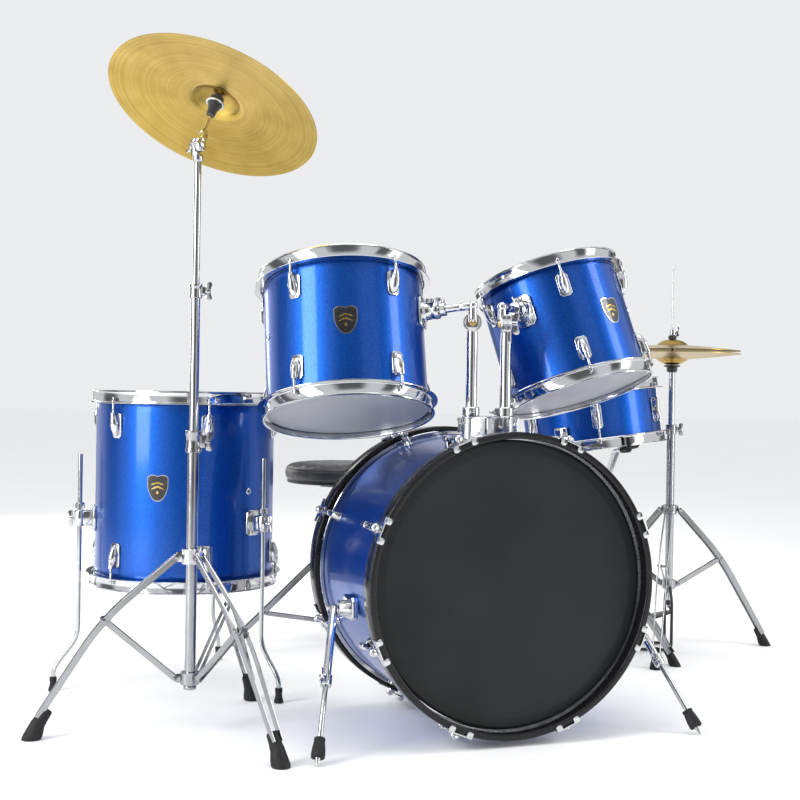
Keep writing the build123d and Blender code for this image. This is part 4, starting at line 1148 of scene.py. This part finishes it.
metal, rubbers = Piece(), Piece()
metal.bar(foot + UP * 160, hub - UP * 12, 10)
metal.lathe(placed(hub, snare.z), [(0, -34), (15, -34), (17, -32), (17, -14), (15.6, -12), (15.6, -4),
                                   (17, -2), (17, 10), (15, 12), (0, 12)], 40)
gear(metal, placed(hub - UP * 30 + snare.x * 0, snare.x), 13, -8, 8, 28)
for turn in (50, 170, 290):
    corners = [hub + snare.spoke(turn) * 8, snare.point(turn, 112, GRIP_Z), snare.point(turn, 166, GRIP_Z)]
    metal.pipe(rounded(corners, 14, 6), 5.0, 18)
    grip = [snare.point(turn, 158, GRIP_Z), snare.point(turn, 199, GRIP_Z),
            snare.point(turn, 199, GRIP_Z + 30)]
    rubbers.pipe(rounded(grip, 9, 6), [7.6] * 5 + [6.0] * 3 + [4.6], 20)
metal.done("snare_basket_steel", CHROME, "snare_basket", ("snare_basket",), "chrome")
rubbers.done("snare_basket_grips", RUBBER, "snare_basket", (), "painted_black")

# ------------------------------------------------------------------ cymbals


def cymbal(name, body, node, seat, axis, radius, bell_radius, bell_height, bow_height, side, hole=6.0):
    """Spun disc with a bow, a bell and a rolled edge."""
    piece = Piece()
    top = bow_height + bell_height
    upper = [(hole, top)]
    for k in range(1, 9):
        r = hole + (bell_radius - hole) * k / 8
        t = (r - hole) / (bell_radius - hole)
        upper.append((r, bow_height + bell_height * (1 - t ** 2.3)))
    for k in range(1, 25):
        t = k / 24
        r = bell_radius + (radius - bell_radius) * t
        upper.append((r, bow_height * (1 - 0.76 * t - 0.24 * t * t)))
    lower = [(r, z - 1.35) for r, z in reversed(upper)]
    profile = upper + [(radius + 0.05, -0.68)] + lower
    profile.append(profile[0])
    piece.lathe(placed(seat, axis * side), profile, 160)
    return piece.done(name, BRASS, body, (node,), "cymbal_brass", 50)


# ------------------------------------------------------------------ hi-hat

hat = kit(803, 573)
HAT_TURN = -7.0
HAT_LOW, HAT_HIGH, HAT_RADIUS = 787, 796, 177.8
pedal_way = heading(160)
pedal_side = UP.cross(pedal_way)
metal, rubbers, paint = Piece(), Piece(), Piece()
tube(metal, hat, 150, 572, 10.5, 8.05)
round_sleeve(metal, placed(hat, UP), 8.05, 14, 572, 598)
screw_boss(metal, hat + UP * 585, 15, (15, 12, 12), 19, 34, 9)
collar(metal, hat + UP * 358, 26, 18, 10.5, HAT_TURN)
collar(metal, hat + UP * 160, 24, 18, 10.5, HAT_TURN)
wing(metal, placed(hat + UP * 371 + heading(53) * 17, heading(53), UP), 32, 11)
tripod(metal, rubbers, hat, HAT_TURN, (26, 371), (150, 240), (272, 34), (26, 172), 16)
for side in (-1, 1):
    edge = hat + pedal_side * (side * 47)
    heel_edge = edge + pedal_way * 285
    corners = [hat + pedal_side * (side * 15) + UP * 168, edge + UP * 130, edge + UP * 5,
               heel_edge + UP * 5]
    paint.pipe(rounded(corners, 16, 6), 4.0, 18)
    paint.box(placed(heel_edge + UP * 13, UP, pedal_way), (26, 8, 26), 2)
paint.box(placed(hat + pedal_way * 311 + UP * 3.5, UP, pedal_way), (44, 102, 5), 1.5)
heel = hat + pedal_way * 285 + UP * 18
toe = hat - pedal_way * 6 + UP * 98
metal.bar(heel - pedal_side * 49, heel + pedal_side * 49, 3)
metal.done("hihat_stand_steel", STEEL, "hihat_stand", ("hihat_stand",), "chrome")
rubbers.done("hihat_stand_feet", RUBBER, "hihat_stand", (), "painted_black")
paint.done("hihat_pedal_frame", PAINT, "hihat_stand", (), "painted_black")

metal, soft = Piece(), Piece()
tube(metal, hat, 420, 738, 8, 3.05)
cup = Piece()
cup.lathe(placed(hat, UP), [(3.05, 737), (10, 737), (14, 740), (14, 750), (18, 752), (22, 753), (22, 755),
                              (3.05, 755), (3.05, 737)], 40)
soft.lathe(placed(hat, UP), [(3.1, 755), (19, 755), (20, 756), (19, 757), (3.1, 757), (3.1, 755)], 36)
metal.done("hihat_upper_steel", TUBE, "hihat_upper_tube", ("hihat_upper_tube",), "chrome")
cup.done("hihat_cup_cast", PAINT, "hihat_upper_tube", (), "painted_black")
soft.done("hihat_cup_felt", FELT, "hihat_upper_tube", (), "painted_black")
for part, body, height, side in (("bottom", "hihat_upper_tube", HAT_LOW, -1),
                                 ("top", "hihat_rod", HAT_HIGH, 1)):
    cymbal(f"hihat_{part}_disc", body, f"hihat_{part}_cymbal", hat + UP * height, UP, HAT_RADIUS, 42, 15,
           14, side)
metal, soft = Piece(), Piece()
metal.bar(hat + UP * 108, hat + UP * 1028, 3.0, 0.6, 20)
metal.lathe(placed(hat, UP), [(3, 836), (7, 836), (8, 837), (8, 846), (6.6, 847), (6.6, 853), (5.8, 854),
                              (3, 854)], 36)
for low, high in ((812, 823), (825.5, 836)):
    soft.disc(placed(hat, UP), 11, low, high, 2.4, 36)
wing(metal, placed(hat + UP * 846 + heading(-40) * 6, heading(-40), UP), 26, 9)
metal.done("hihat_rod_steel", TUBE, "hihat_rod", ("hihat_pull_rod",), "chrome")
soft.done("hihat_clutch_felts", FELT, "hihat_rod", (), "painted_black")


def pedal_board(name, body, node, heel, toe, side, width, material):
    """Cast footboard with raised ribs and a heel barrel."""
    slope = (toe - heel)
    length = slope.length
    normal = side.cross(slope).normalized()
    normal = normal if normal.z > 0 else -normal
    base = placed(heel, normal, slope)
    piece = Piece()
    w = width / 2
    outline = [(2, -w * 0.8), (14, -w), (length * 0.72, -w), (length * 0.92, -w * 0.72),
               (length, -w * 0.42), (length, w * 0.42), (length * 0.92, w * 0.72), (length * 0.72, w),
               (14, w), (2, w * 0.8)]
    piece.prism(base, outline, -2.5, 1.6, 1.0)
    for k in range(9):
        x = 34 + k * (length - 80) / 9
        piece.box(shifted(base, x=x, z=1.8), (6, width * 0.78, 1.6), 0.6)
    piece.bar(heel - side * (width / 2), heel + side * (width / 2), 6, 1.0)
    return piece.done(name, material, body, (node,), "chrome")


pedal_board("hihat_footboard_cast", "hihat_footboard", "hihat_footboard", heel, toe, pedal_side, 78, PAINT)
links = Piece()
chain(links, hat + UP * 120, toe + UP * 2, pedal_side)
links.disc(placed(hat, UP), 6.5, 116, 128, 1.2, 24)
links.done("hihat_pull_chain", PAINT, "hihat_rod", (), "chrome")

# ------------------------------------------------------------------ cymbal stand

STAND_TURN = 172.8
COLLAR_Z, ROOT_Z, PIVOT, KNEE_R, FOOT_R = 345.0, 108.0, 28.0, 168.0, 286.0
KNEE_Z = (COLLAR_Z + ROOT_Z) / 2
stand = kit(-572, 66)
metal = Piece()
tube(metal, stand, 88, 548, 11, 9.05)
metal.lathe(placed(stand, UP), [(9.05, 548), (14.5, 548), (16, 549.5), (16, 557), (14.6, 559), (14.6, 580),
                                (16, 582), (16, 590.5), (14.5, 592), (9.05, 592), (9.05, 548)], 40)
screw_boss(metal, stand + UP * 570, 17, (26, 13, 14), 22, 38, 10)
collar(metal, stand + UP * 96, 24, 19, 11, STAND_TURN)
metal.disc(placed(stand, UP), 12.6, 86, 94, 1.5)
metal.done("cymbal_stand_base_steel", STEEL, "cymbal_stand", ("cymbal_stand_tube",), "chrome")

metal = Piece()
round_sleeve(metal, placed(stand, UP), 11.05, 20, COLLAR_Z - 14, COLLAR_Z + 16, 1.5)
for number in range(3):
    out = heading(STAND_TURN + 120 * number)
    metal.box(placed(stand + out * 22 + UP * COLLAR_Z, out, UP), (20, 9, 16), 2)
wing(metal, placed(stand + UP * 352 + heading(-67) * 18, heading(-67), UP), 34, 12)
metal.done("cymbal_stand_slider", CHROME, "cymbal_collar", ("cymbal_stand_collar",), "chrome")

for number in range(3):
    turn = STAND_TURN + 120 * number
    hip, knee, foot = (PIVOT, COLLAR_Z), (KNEE_R, KNEE_Z), (FOOT_R, 42)
    metal, rubbers = Piece(), Piece()
    leg_straps(metal, stand, turn, hip, knee, foot)
    add_foot(rubbers, stand, turn, knee, foot, 19)
    body = f"cymbal_leg_{number + 1}"
    metal.done(f"cymbal_stand_straps_{number + 1}", STEEL, body, (f"cymbal_stand_leg_{number + 1}",),
               "chrome")
    rubbers.done(f"cymbal_stand_foot_{number + 1}", RUBBER, body, (), "painted_black")
    metal = Piece()
    brace_straps(metal, stand, turn, (PIVOT, ROOT_Z), knee)
    metal.done(f"cymbal_stand_braces_{number + 1}", STEEL, f"cymbal_brace_{number + 1}",
               (f"cymbal_stand_brace_{number + 1}",), "chrome")

metal = Piece()
tube(metal, stand, 330, 850, 9, 7.05)
metal.lathe(placed(stand, UP), [(7.05, 850), (11.8, 850), (13, 851.2), (13, 856), (12, 858), (12, 870),
                                (13, 872), (13, 876.8), (11.8, 878), (7.05, 878), (7.05, 850)], 40)
screw_boss(metal, stand + UP * 864, 14, (17, 12, 13), 18, 36, 10)
metal.done("cymbal_middle_steel", TUBE, "cymbal_middle", ("cymbal_middle_tube",), "chrome")

tilter = stand + UP * 1150
crash_axis = Vector((0.374, 0.293, 0.880)).normalized()
tilt_axis = UP.cross(crash_axis).normalized()
crash_seat = tilter + crash_axis * 88
metal = Piece()
metal.bar(stand + UP * 620, tilter - UP * 20, 7)
metal.lathe(placed(tilter - UP * 34, UP), [(0, 0), (8.6, 0), (10, 2), (10, 12), (8.6, 16), (0, 17)], 32)
metal.box(placed(tilter - UP * 15 + tilt_axis * 5.2, UP, tilt_axis), (10, 19, 18), 2.5)
gear(metal, placed(tilter, tilt_axis), 14, GAP / 2, 9, 28)
metal.done("cymbal_upper_steel", TUBE, "cymbal_upper", ("cymbal_upper_tube",), "chrome")

metal, soft = Piece(), Piece()
gear(metal, placed(tilter, -tilt_axis), 14, GAP / 2, 9, 28)
metal.bar(tilter - tilt_axis * 15, tilter + tilt_axis * 14, 4)
hex_nut(metal, placed(tilter - tilt_axis * 9, -tilt_axis), 13, 5)
wing(metal, placed(tilter + tilt_axis * 10.3, tilt_axis, crash_axis), 34, 10)
metal.box(placed(tilter - tilt_axis * 5.6 + crash_axis * 16, crash_axis, tilt_axis), (9.6, 15, 24), 3)
metal.lathe(placed(tilter + crash_axis * 26, crash_axis),
            [(0, 0), (6.4, 0), (7.6, 1.5), (7.6, 8), (5, 11), (4, 12),
                                                           (4, 131), (3.4, 132), (0, 132)], 32)
seat = placed(crash_seat, crash_axis)
metal.lathe(seat, [(4, 12.2), (17.5, 12.2), (19, 13.2), (19, 15), (17.5, 16), (4, 16)], 40)
hex_nut(metal, shifted(seat, z=53), 16, 6)
wing(metal, placed(crash_seat + crash_axis * 58.5, crash_axis, tilt_axis), 36, 10)
soft.lathe(seat, [(4, -16), (8, -16), (9, -14.5), (9.5, -4), (13, 8), (15.5, 11.5), (15, 12.2), (4, 12.2)],
           36)
soft.lathe(seat, [(4, 16), (13, 16), (14, 18), (14, 27), (12.5, 29.8), (4, 30), (4, 16)], 36)
soft.lathe(seat, [(4, 42), (12.5, 42), (14, 44), (14, 50), (12.5, 52), (4, 52), (4, 42)], 36)
metal.done("cymbal_tilter_steel", CHROME, "cymbal_tilter", ("cymbal_tilter",), "chrome")
soft.done("cymbal_tilter_felts", FELT, "cymbal_tilter", (), "painted_black")
CRASH_RADIUS = 8.5 * INCH
cymbal("crash_disc", "crash_cymbal", "crash_cymbal", crash_seat, crash_axis, CRASH_RADIUS, 52, 20, 18, 1)

# ------------------------------------------------------------------ throne

throne = kit(-14, 886)
SEAT_TOP, SEAT_LOW = 486.0, 428.0
SEAMS = (9, 39)
SWELL = 4 * MM
cushion = Piece()
cushion.lathe(placed(throne, UP), [(0, SEAT_LOW + 4), (80, SEAT_LOW + 4), (146, SEAT_LOW + 4),
                                   (154, SEAT_LOW + 6), (158, SEAT_LOW + 11), (159, SEAT_LOW + 26),
                                   (158, SEAT_LOW + 40), (150, SEAT_LOW + 46), (120, SEAT_LOW + 50),
                                   (60, SEAT_LOW + 52), (0, SEAT_LOW + 53)], 96)
seat = cushion.done("throne_cushion", VINYL, "throne_seat", ("throne_seat",), "black_vinyl", 60)
shape = seat.modifiers.new("remesh", "REMESH")
shape.mode = "VOXEL"
shape.voxel_size = 0.0055
bpy.context.view_layer.update()
graph = bpy.context.evaluated_depsgraph_get()
seat.data = bpy.data.meshes.new_from_object(seat.evaluated_get(graph))
seat.modifiers.clear()
rest = [v.co.copy() for v in seat.data.vertices]
cloth = seat.modifiers.new("cloth", "CLOTH")
cloth.settings.quality = 6
cloth.settings.mass = 0.3
cloth.settings.tension_stiffness = 40
cloth.settings.compression_stiffness = 40
cloth.settings.bending_stiffness = 3
cloth.settings.use_pressure = True
cloth.settings.uniform_pressure_force = 4
cloth.settings.effector_weights.gravity = 0
cloth.collision_settings.use_collision = False
for moment in range(1, 21):
    scene.frame_set(moment)
graph = bpy.context.evaluated_depsgraph_get()
swollen = bpy.data.meshes.new_from_object(seat.evaluated_get(graph))
seat.modifiers.clear()
moves = [end.co - start for start, end in zip(rest, swollen.vertices)]
drift = sum(moves, Vector()) / len(moves)
for vertex, start, move in zip(seat.data.vertices, rest, moves):
    move = move - drift
    if move.length > SWELL:
        move = move.normalized() * SWELL
    vertex.co = start + move
bpy.data.meshes.remove(swollen)
scene.frame_set(1)
middle = throne * MM
for vertex in seat.data.vertices:
    side = Vector((vertex.co.x - middle.x, vertex.co.y - middle.y))
    reach = side.length
    height = vertex.co.z * 1000
    pull = 0.0
    if reach > 0.120:
        pull = 0.0015 * sum(max(0.0, 1 - abs(height - SEAT_LOW - seam) / 4) for seam in SEAMS)
    if pull and reach:
        side *= (reach - pull) / reach
        vertex.co.x, vertex.co.y = middle.x + side.x, middle.y + side.y
    vertex.co.z = min(max(vertex.co.z, (SEAT_LOW + 0.3) * MM), (SEAT_TOP - 0.5) * MM)
smooth = seat.modifiers.new("soften", "SUBSURF")
smooth.levels = smooth.render_levels = 1
bpy.context.view_layer.update()
graph = bpy.context.evaluated_depsgraph_get()
seat.data = bpy.data.meshes.new_from_object(seat.evaluated_get(graph))
seat.modifiers.clear()
for polygon in seat.data.polygons:
    polygon.use_smooth = True

piping, board = Piece(), Piece()
for seam in SEAMS:
    near = [(v.co.xy - middle.xy).length for v in seat.data.vertices
            if abs(v.co.z / MM - SEAT_LOW - seam) < 2 and (v.co.xy - middle.xy).length > 0.140]
    reach = sum(near) / len(near) / MM
    ring = [throne + heading(5 * k) * reach + UP * (SEAT_LOW + seam) for k in range(72)]
    piping.pipe(ring, 1.7, 12, loop=True)
piping.done("throne_piping", VINYL, "throne_seat", (), "black_vinyl")
board.lathe(placed(throne, UP), [(0, SEAT_LOW), (148, SEAT_LOW), (151, SEAT_LOW + 2), (151, SEAT_LOW + 7),
                                 (0, SEAT_LOW + 7)], 96)
board.done("throne_seat_board", PAINT, "throne_seat", (), "painted_black")

metal = Piece()
metal.bar(throne + UP * 130, throne + UP * 418, 11)
metal.lathe(placed(throne, UP), [(11, 384), (17.5, 384), (19, 386), (19, 400), (17.4, 402), (17.4, 408),
                                 (19, 410), (19, 420), (11, 420), (11, 384)], 40)
metal.prism(placed(throne, UP), clipped(48, 48, 4), SEAT_LOW - 12 - GAP, SEAT_LOW - 9, 1.0)
metal.lathe(placed(throne, UP), [(11, SEAT_LOW - 14), (34, SEAT_LOW - 12), (36, SEAT_LOW - 4),
                                 (36, SEAT_LOW - GAP), (11, SEAT_LOW - GAP)], 40)
wing(metal, placed(throne + UP * 394 + heading(-70) * 18, heading(-70), UP), 36, 11)
metal.done("throne_post_steel", TUBE, "throne_post", ("throne_post",), "chrome")

metal, rubbers = Piece(), Piece()
tube(metal, throne, 36, 318, 14, 11.05)
round_sleeve(metal, placed(throne, UP), 11.05, 18, 318, 344, 1.6)
screw_boss(metal, throne + UP * 331, 19, (16, 14, 12), 24, 38, 10)
collar(metal, throne + UP * 246, 30, 22, 14, 176)
collar(metal, throne + UP * 42, 24, 22, 14, 176)
tripod(metal, rubbers, throne, 176, (30, 258), (212, 86), (272, 30), (30, 54), 17)
metal.done("throne_tripod_steel", STEEL, "throne_tripod", ("throne_tripod",), "chrome")
rubbers.done("throne_feet", RUBBER, "throne_tripod", (), "painted_black")

# ------------------------------------------------------------------ bass pedal

AXLE_Y, AXLE_Z, PEDAL_HALF = 236.0, 186.0, 46.0
side_way = Vector((1, 0, 0))
axle = kit(0, AXLE_Y, AXLE_Z)
pedal_heel, pedal_toe = kit(0, 455, 18), kit(0, 252, 76)
paint, metal = Piece(), Piece()
base = [(-34, -124), (-30, -125), (30, -125), (34, -124), (34, 100), (50, 112), (50, 132), (46, 133),
        (-46, 133), (-50, 132), (-50, 112), (-34, 100)]
paint.prism(placed(kit(0, 362), UP, (1, 0, 0)), base, 0, 5, 1.0)
paint.box(placed(kit(0, 205, 5.8), UP, (1, 0, 0)), (60, 66, 11.6), 1.5)
paint.box(placed(kit(0, 230, 8), UP, (1, 0, 0)), (104, 24, 16), 3)
for side in (-1, 1):
    round_sleeve(paint, placed(kit(side * 43, AXLE_Y, AXLE_Z), side_way * side), 5.06, 11, 0, 10, 1.0, 32)
    upright = [(10, -10), (60, -6), (176, -5), (176, 5), (60, 6), (10, 10)]
    paint.prism(placed(kit(side * 43.4, AXLE_Y, 0), side_way * side, UP), upright, 0, 9.2, 1.2)
    paint.box(placed(kit(side * (PEDAL_HALF - 1), 455, 14), UP, (1, 0, 0)), (6.4, 26, 24), 1.5)
metal.bar(pedal_heel - side_way * 47, pedal_heel + side_way * 47, 3)
wing(metal, placed(kit(0, 205, 8) + side_way * 30, side_way, (0, 1, 0)), 26, 10)
paint.done("pedal_frame_cast", PAINT, "bass_drum", ("pedal_frame",), "painted_black")
metal.done("pedal_frame_pins", CHROME, "bass_drum", (), "chrome")
pedal_board("pedal_footboard_cast", "pedal_footboard", "pedal_footboard", pedal_heel, pedal_toe, side_way,
            76, CAST)

lean = Vector((0, sin(radians(40)), cos(radians(40))))
stroke = Vector((0, cos(radians(40)), -sin(radians(40))))
beater = axle + lean * 186
metal, soft = Piece(), Piece()
metal.bar(axle - side_way * 53, axle + side_way * 53, 5.0)
metal.lathe(placed(axle - side_way * 14, side_way),
            [(5, 0), (14, 0), (17, 2), (17, 9), (13, 11), (13, 17), (17, 19),
                                                     (17, 26), (14, 28), (5, 28)], 36)
metal.bar(axle, beater, 3.5)
soft.lathe(placed(beater - stroke * 27, stroke),
           [(0, 0), (15, 0), (20, 3), (22, 9), (22, 45), (20, 51), (15, 54), (0, 54)], 40)
metal.done("pedal_beater_steel", CHROME, "pedal_beater", ("pedal_beater",), "chrome")
links = Piece()
chain(links, axle + Vector((0, 18.5, -2)), pedal_toe + Vector((0, 3, 3)), side_way)
links.done("pedal_drive_chain", CHROME, "pedal_footboard", (), "chrome")
soft.done("pedal_beater_felt", GREY_FELT, "pedal_beater", (), "painted_black")

# ------------------------------------------------------------------ floor, lights and camera

floor_nodes = Nodes("studio_floor").set(Specular_IOR_Level=0.3)
pale, paler = (0.955, 0.955, 0.955), (0.975, 0.975, 0.975)
floor_nodes.colour(floor_nodes.ramp(floor_nodes.noise(1.5, 3.0), (0.3, pale), (0.7, paler)))
floor_nodes.rough(floor_nodes.span(floor_nodes.noise(4, 2.0), 0.55, 0.65))
plane = bmesh.new()
bmesh.ops.create_circle(plane, cap_ends=True, radius=40, segments=96)
floor_mesh = bpy.data.meshes.new("floor")
plane.to_mesh(floor_mesh)
plane.free()
floor_mesh.materials.append(floor_nodes.material)
floor = bpy.data.objects.new("floor", floor_mesh)
floor.location.z = -0.0005
scene.collection.objects.link(floor)
floor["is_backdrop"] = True

world = bpy.data.worlds.new("studio")
world.use_nodes = True
scene.world = world
background = world.node_tree.nodes["Background"]
background.inputs["Color"].default_value = (0.97, 0.98, 1.0, 1)
background.inputs["Strength"].default_value = 0.86


def softbox(name, place, target, width, height, power, tone=(1, 1, 1)):
    """Rectangular area light that looks at a point."""
    data = bpy.data.lights.new(name, "AREA")
    data.shape = "RECTANGLE"
    data.size, data.size_y = width, height
    data.energy = power
    data.color = tone
    lamp = bpy.data.objects.new(name, data)
    lamp.location = place
    lamp.rotation_mode = "QUATERNION"
    lamp.rotation_quaternion = (Vector(target) - Vector(place)).to_track_quat("-Z", "Y")
    scene.collection.objects.link(lamp)


def flag(name, turn, reach, width, low, high):
    """Black panel beside the set: it only darkens reflections, as studio flags do."""
    out = Vector((cos(radians(turn)), sin(radians(turn)), 0))
    across = UP.cross(out) * (width / 2)
    panel = bmesh.new()
    uv = panel.loops.layers.uv.new()
    corners = [out * reach + across * u + UP * z for u, z in ((-1, low), (1, low), (1, high), (-1, high))]
    face = panel.faces.new([panel.verts.new(c) for c in corners])
    for loop, place in zip(face.loops, ((0, 0), (1, 0), (1, 1), (0, 1))):
        loop[uv].uv = place
    mesh = bpy.data.meshes.new(name)
    panel.to_mesh(mesh)
    panel.free()
    mesh.materials.append(FLAG)
    obj = bpy.data.objects.new(name, mesh)
    obj.visible_camera = False
    obj.visible_diffuse = False
    obj.visible_shadow = False
    obj.visible_transmission = False
    scene.collection.objects.link(obj)
    obj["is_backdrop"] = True


def soft_flag():
    """Black cloth whose edges fade out, for reflections with soft edges."""
    m = Nodes("black_flag").set(Base_Color=(0.02, 0.02, 0.024, 1), Roughness=1.0, Specular_IOR_Level=0.0)
    split = m.add("ShaderNodeSeparateXYZ")
    m.link(m.coords("UV"), split.inputs["Vector"])
    faded = None
    for side in ("X", "Y"):
        rest = m.add("ShaderNodeMath", operation="SUBTRACT")
        rest.inputs[0].default_value = 1.0
        m.link(split.outputs[side], rest.inputs[1])
        both = m.add("ShaderNodeMath", operation="MULTIPLY")
        m.link(split.outputs[side], both.inputs[0])
        m.link(rest.outputs[0], both.inputs[1])
        edge = m.add("ShaderNodeMapRange", interpolation_type="SMOOTHSTEP")
        edge.inputs["From Min"].default_value = 0.0
        edge.inputs["From Max"].default_value = 0.22
        m.link(both.outputs[0], edge.inputs["Value"])
        if faded is None:
            faded = edge.outputs["Result"]
        else:
            product = m.add("ShaderNodeMath", operation="MULTIPLY")
            m.link(faded, product.inputs[0])
            m.link(edge.outputs["Result"], product.inputs[1])
            faded = product.outputs[0]
    m.link(m.span(faded, 0.0, 0.85, 0.0, 1.0), m.shader.inputs["Alpha"])
    return m.material


FLAG = soft_flag()
look = Vector((0.3325, 0.943, 0)).normalized()
right = look.cross(UP)
centre = Vector((0, 0, 0.55))
for k, (turn, width) in enumerate(((28, 2.6), (95, 2.6), (158, 2.2), (252, 3.6), (306, 1.6))):
    flag(f"flag_{k + 1}", turn, 3.9, width, -1.2, 4.6)
softbox("key", centre - look * 2.3 - right * 2.7 + UP * 1.2, centre, 1.1, 3.0, 100)
softbox("fill", centre - look * 0.9 + right * 3.2 + UP * 0.9, centre, 0.8, 2.8, 45)
softbox("top", centre + UP * 3.2 - look * 0.4, centre, 3.0, 2.2, 45)
softbox("rim", centre + look * 2.6 - right * 2.4 + UP * 1.4, centre, 0.8, 2.6, 35)

scene.view_settings.view_transform = "Standard"
camera_data = bpy.data.cameras.new("camera")
camera_data.lens = 58.5
camera_data.sensor_width = 36
camera_data.shift_y = -0.0087
camera = bpy.data.objects.new("camera", camera_data)
turn = Matrix((right, UP, -look)).transposed().to_4x4()
place = Matrix.Translation((-1.1449, -2.9134, 0.6708))
camera.matrix_world = place @ turn @ Matrix.Rotation(radians(0.89), 4, "Z")
scene.collection.objects.link(camera)
scene.camera = camera

low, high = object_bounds()
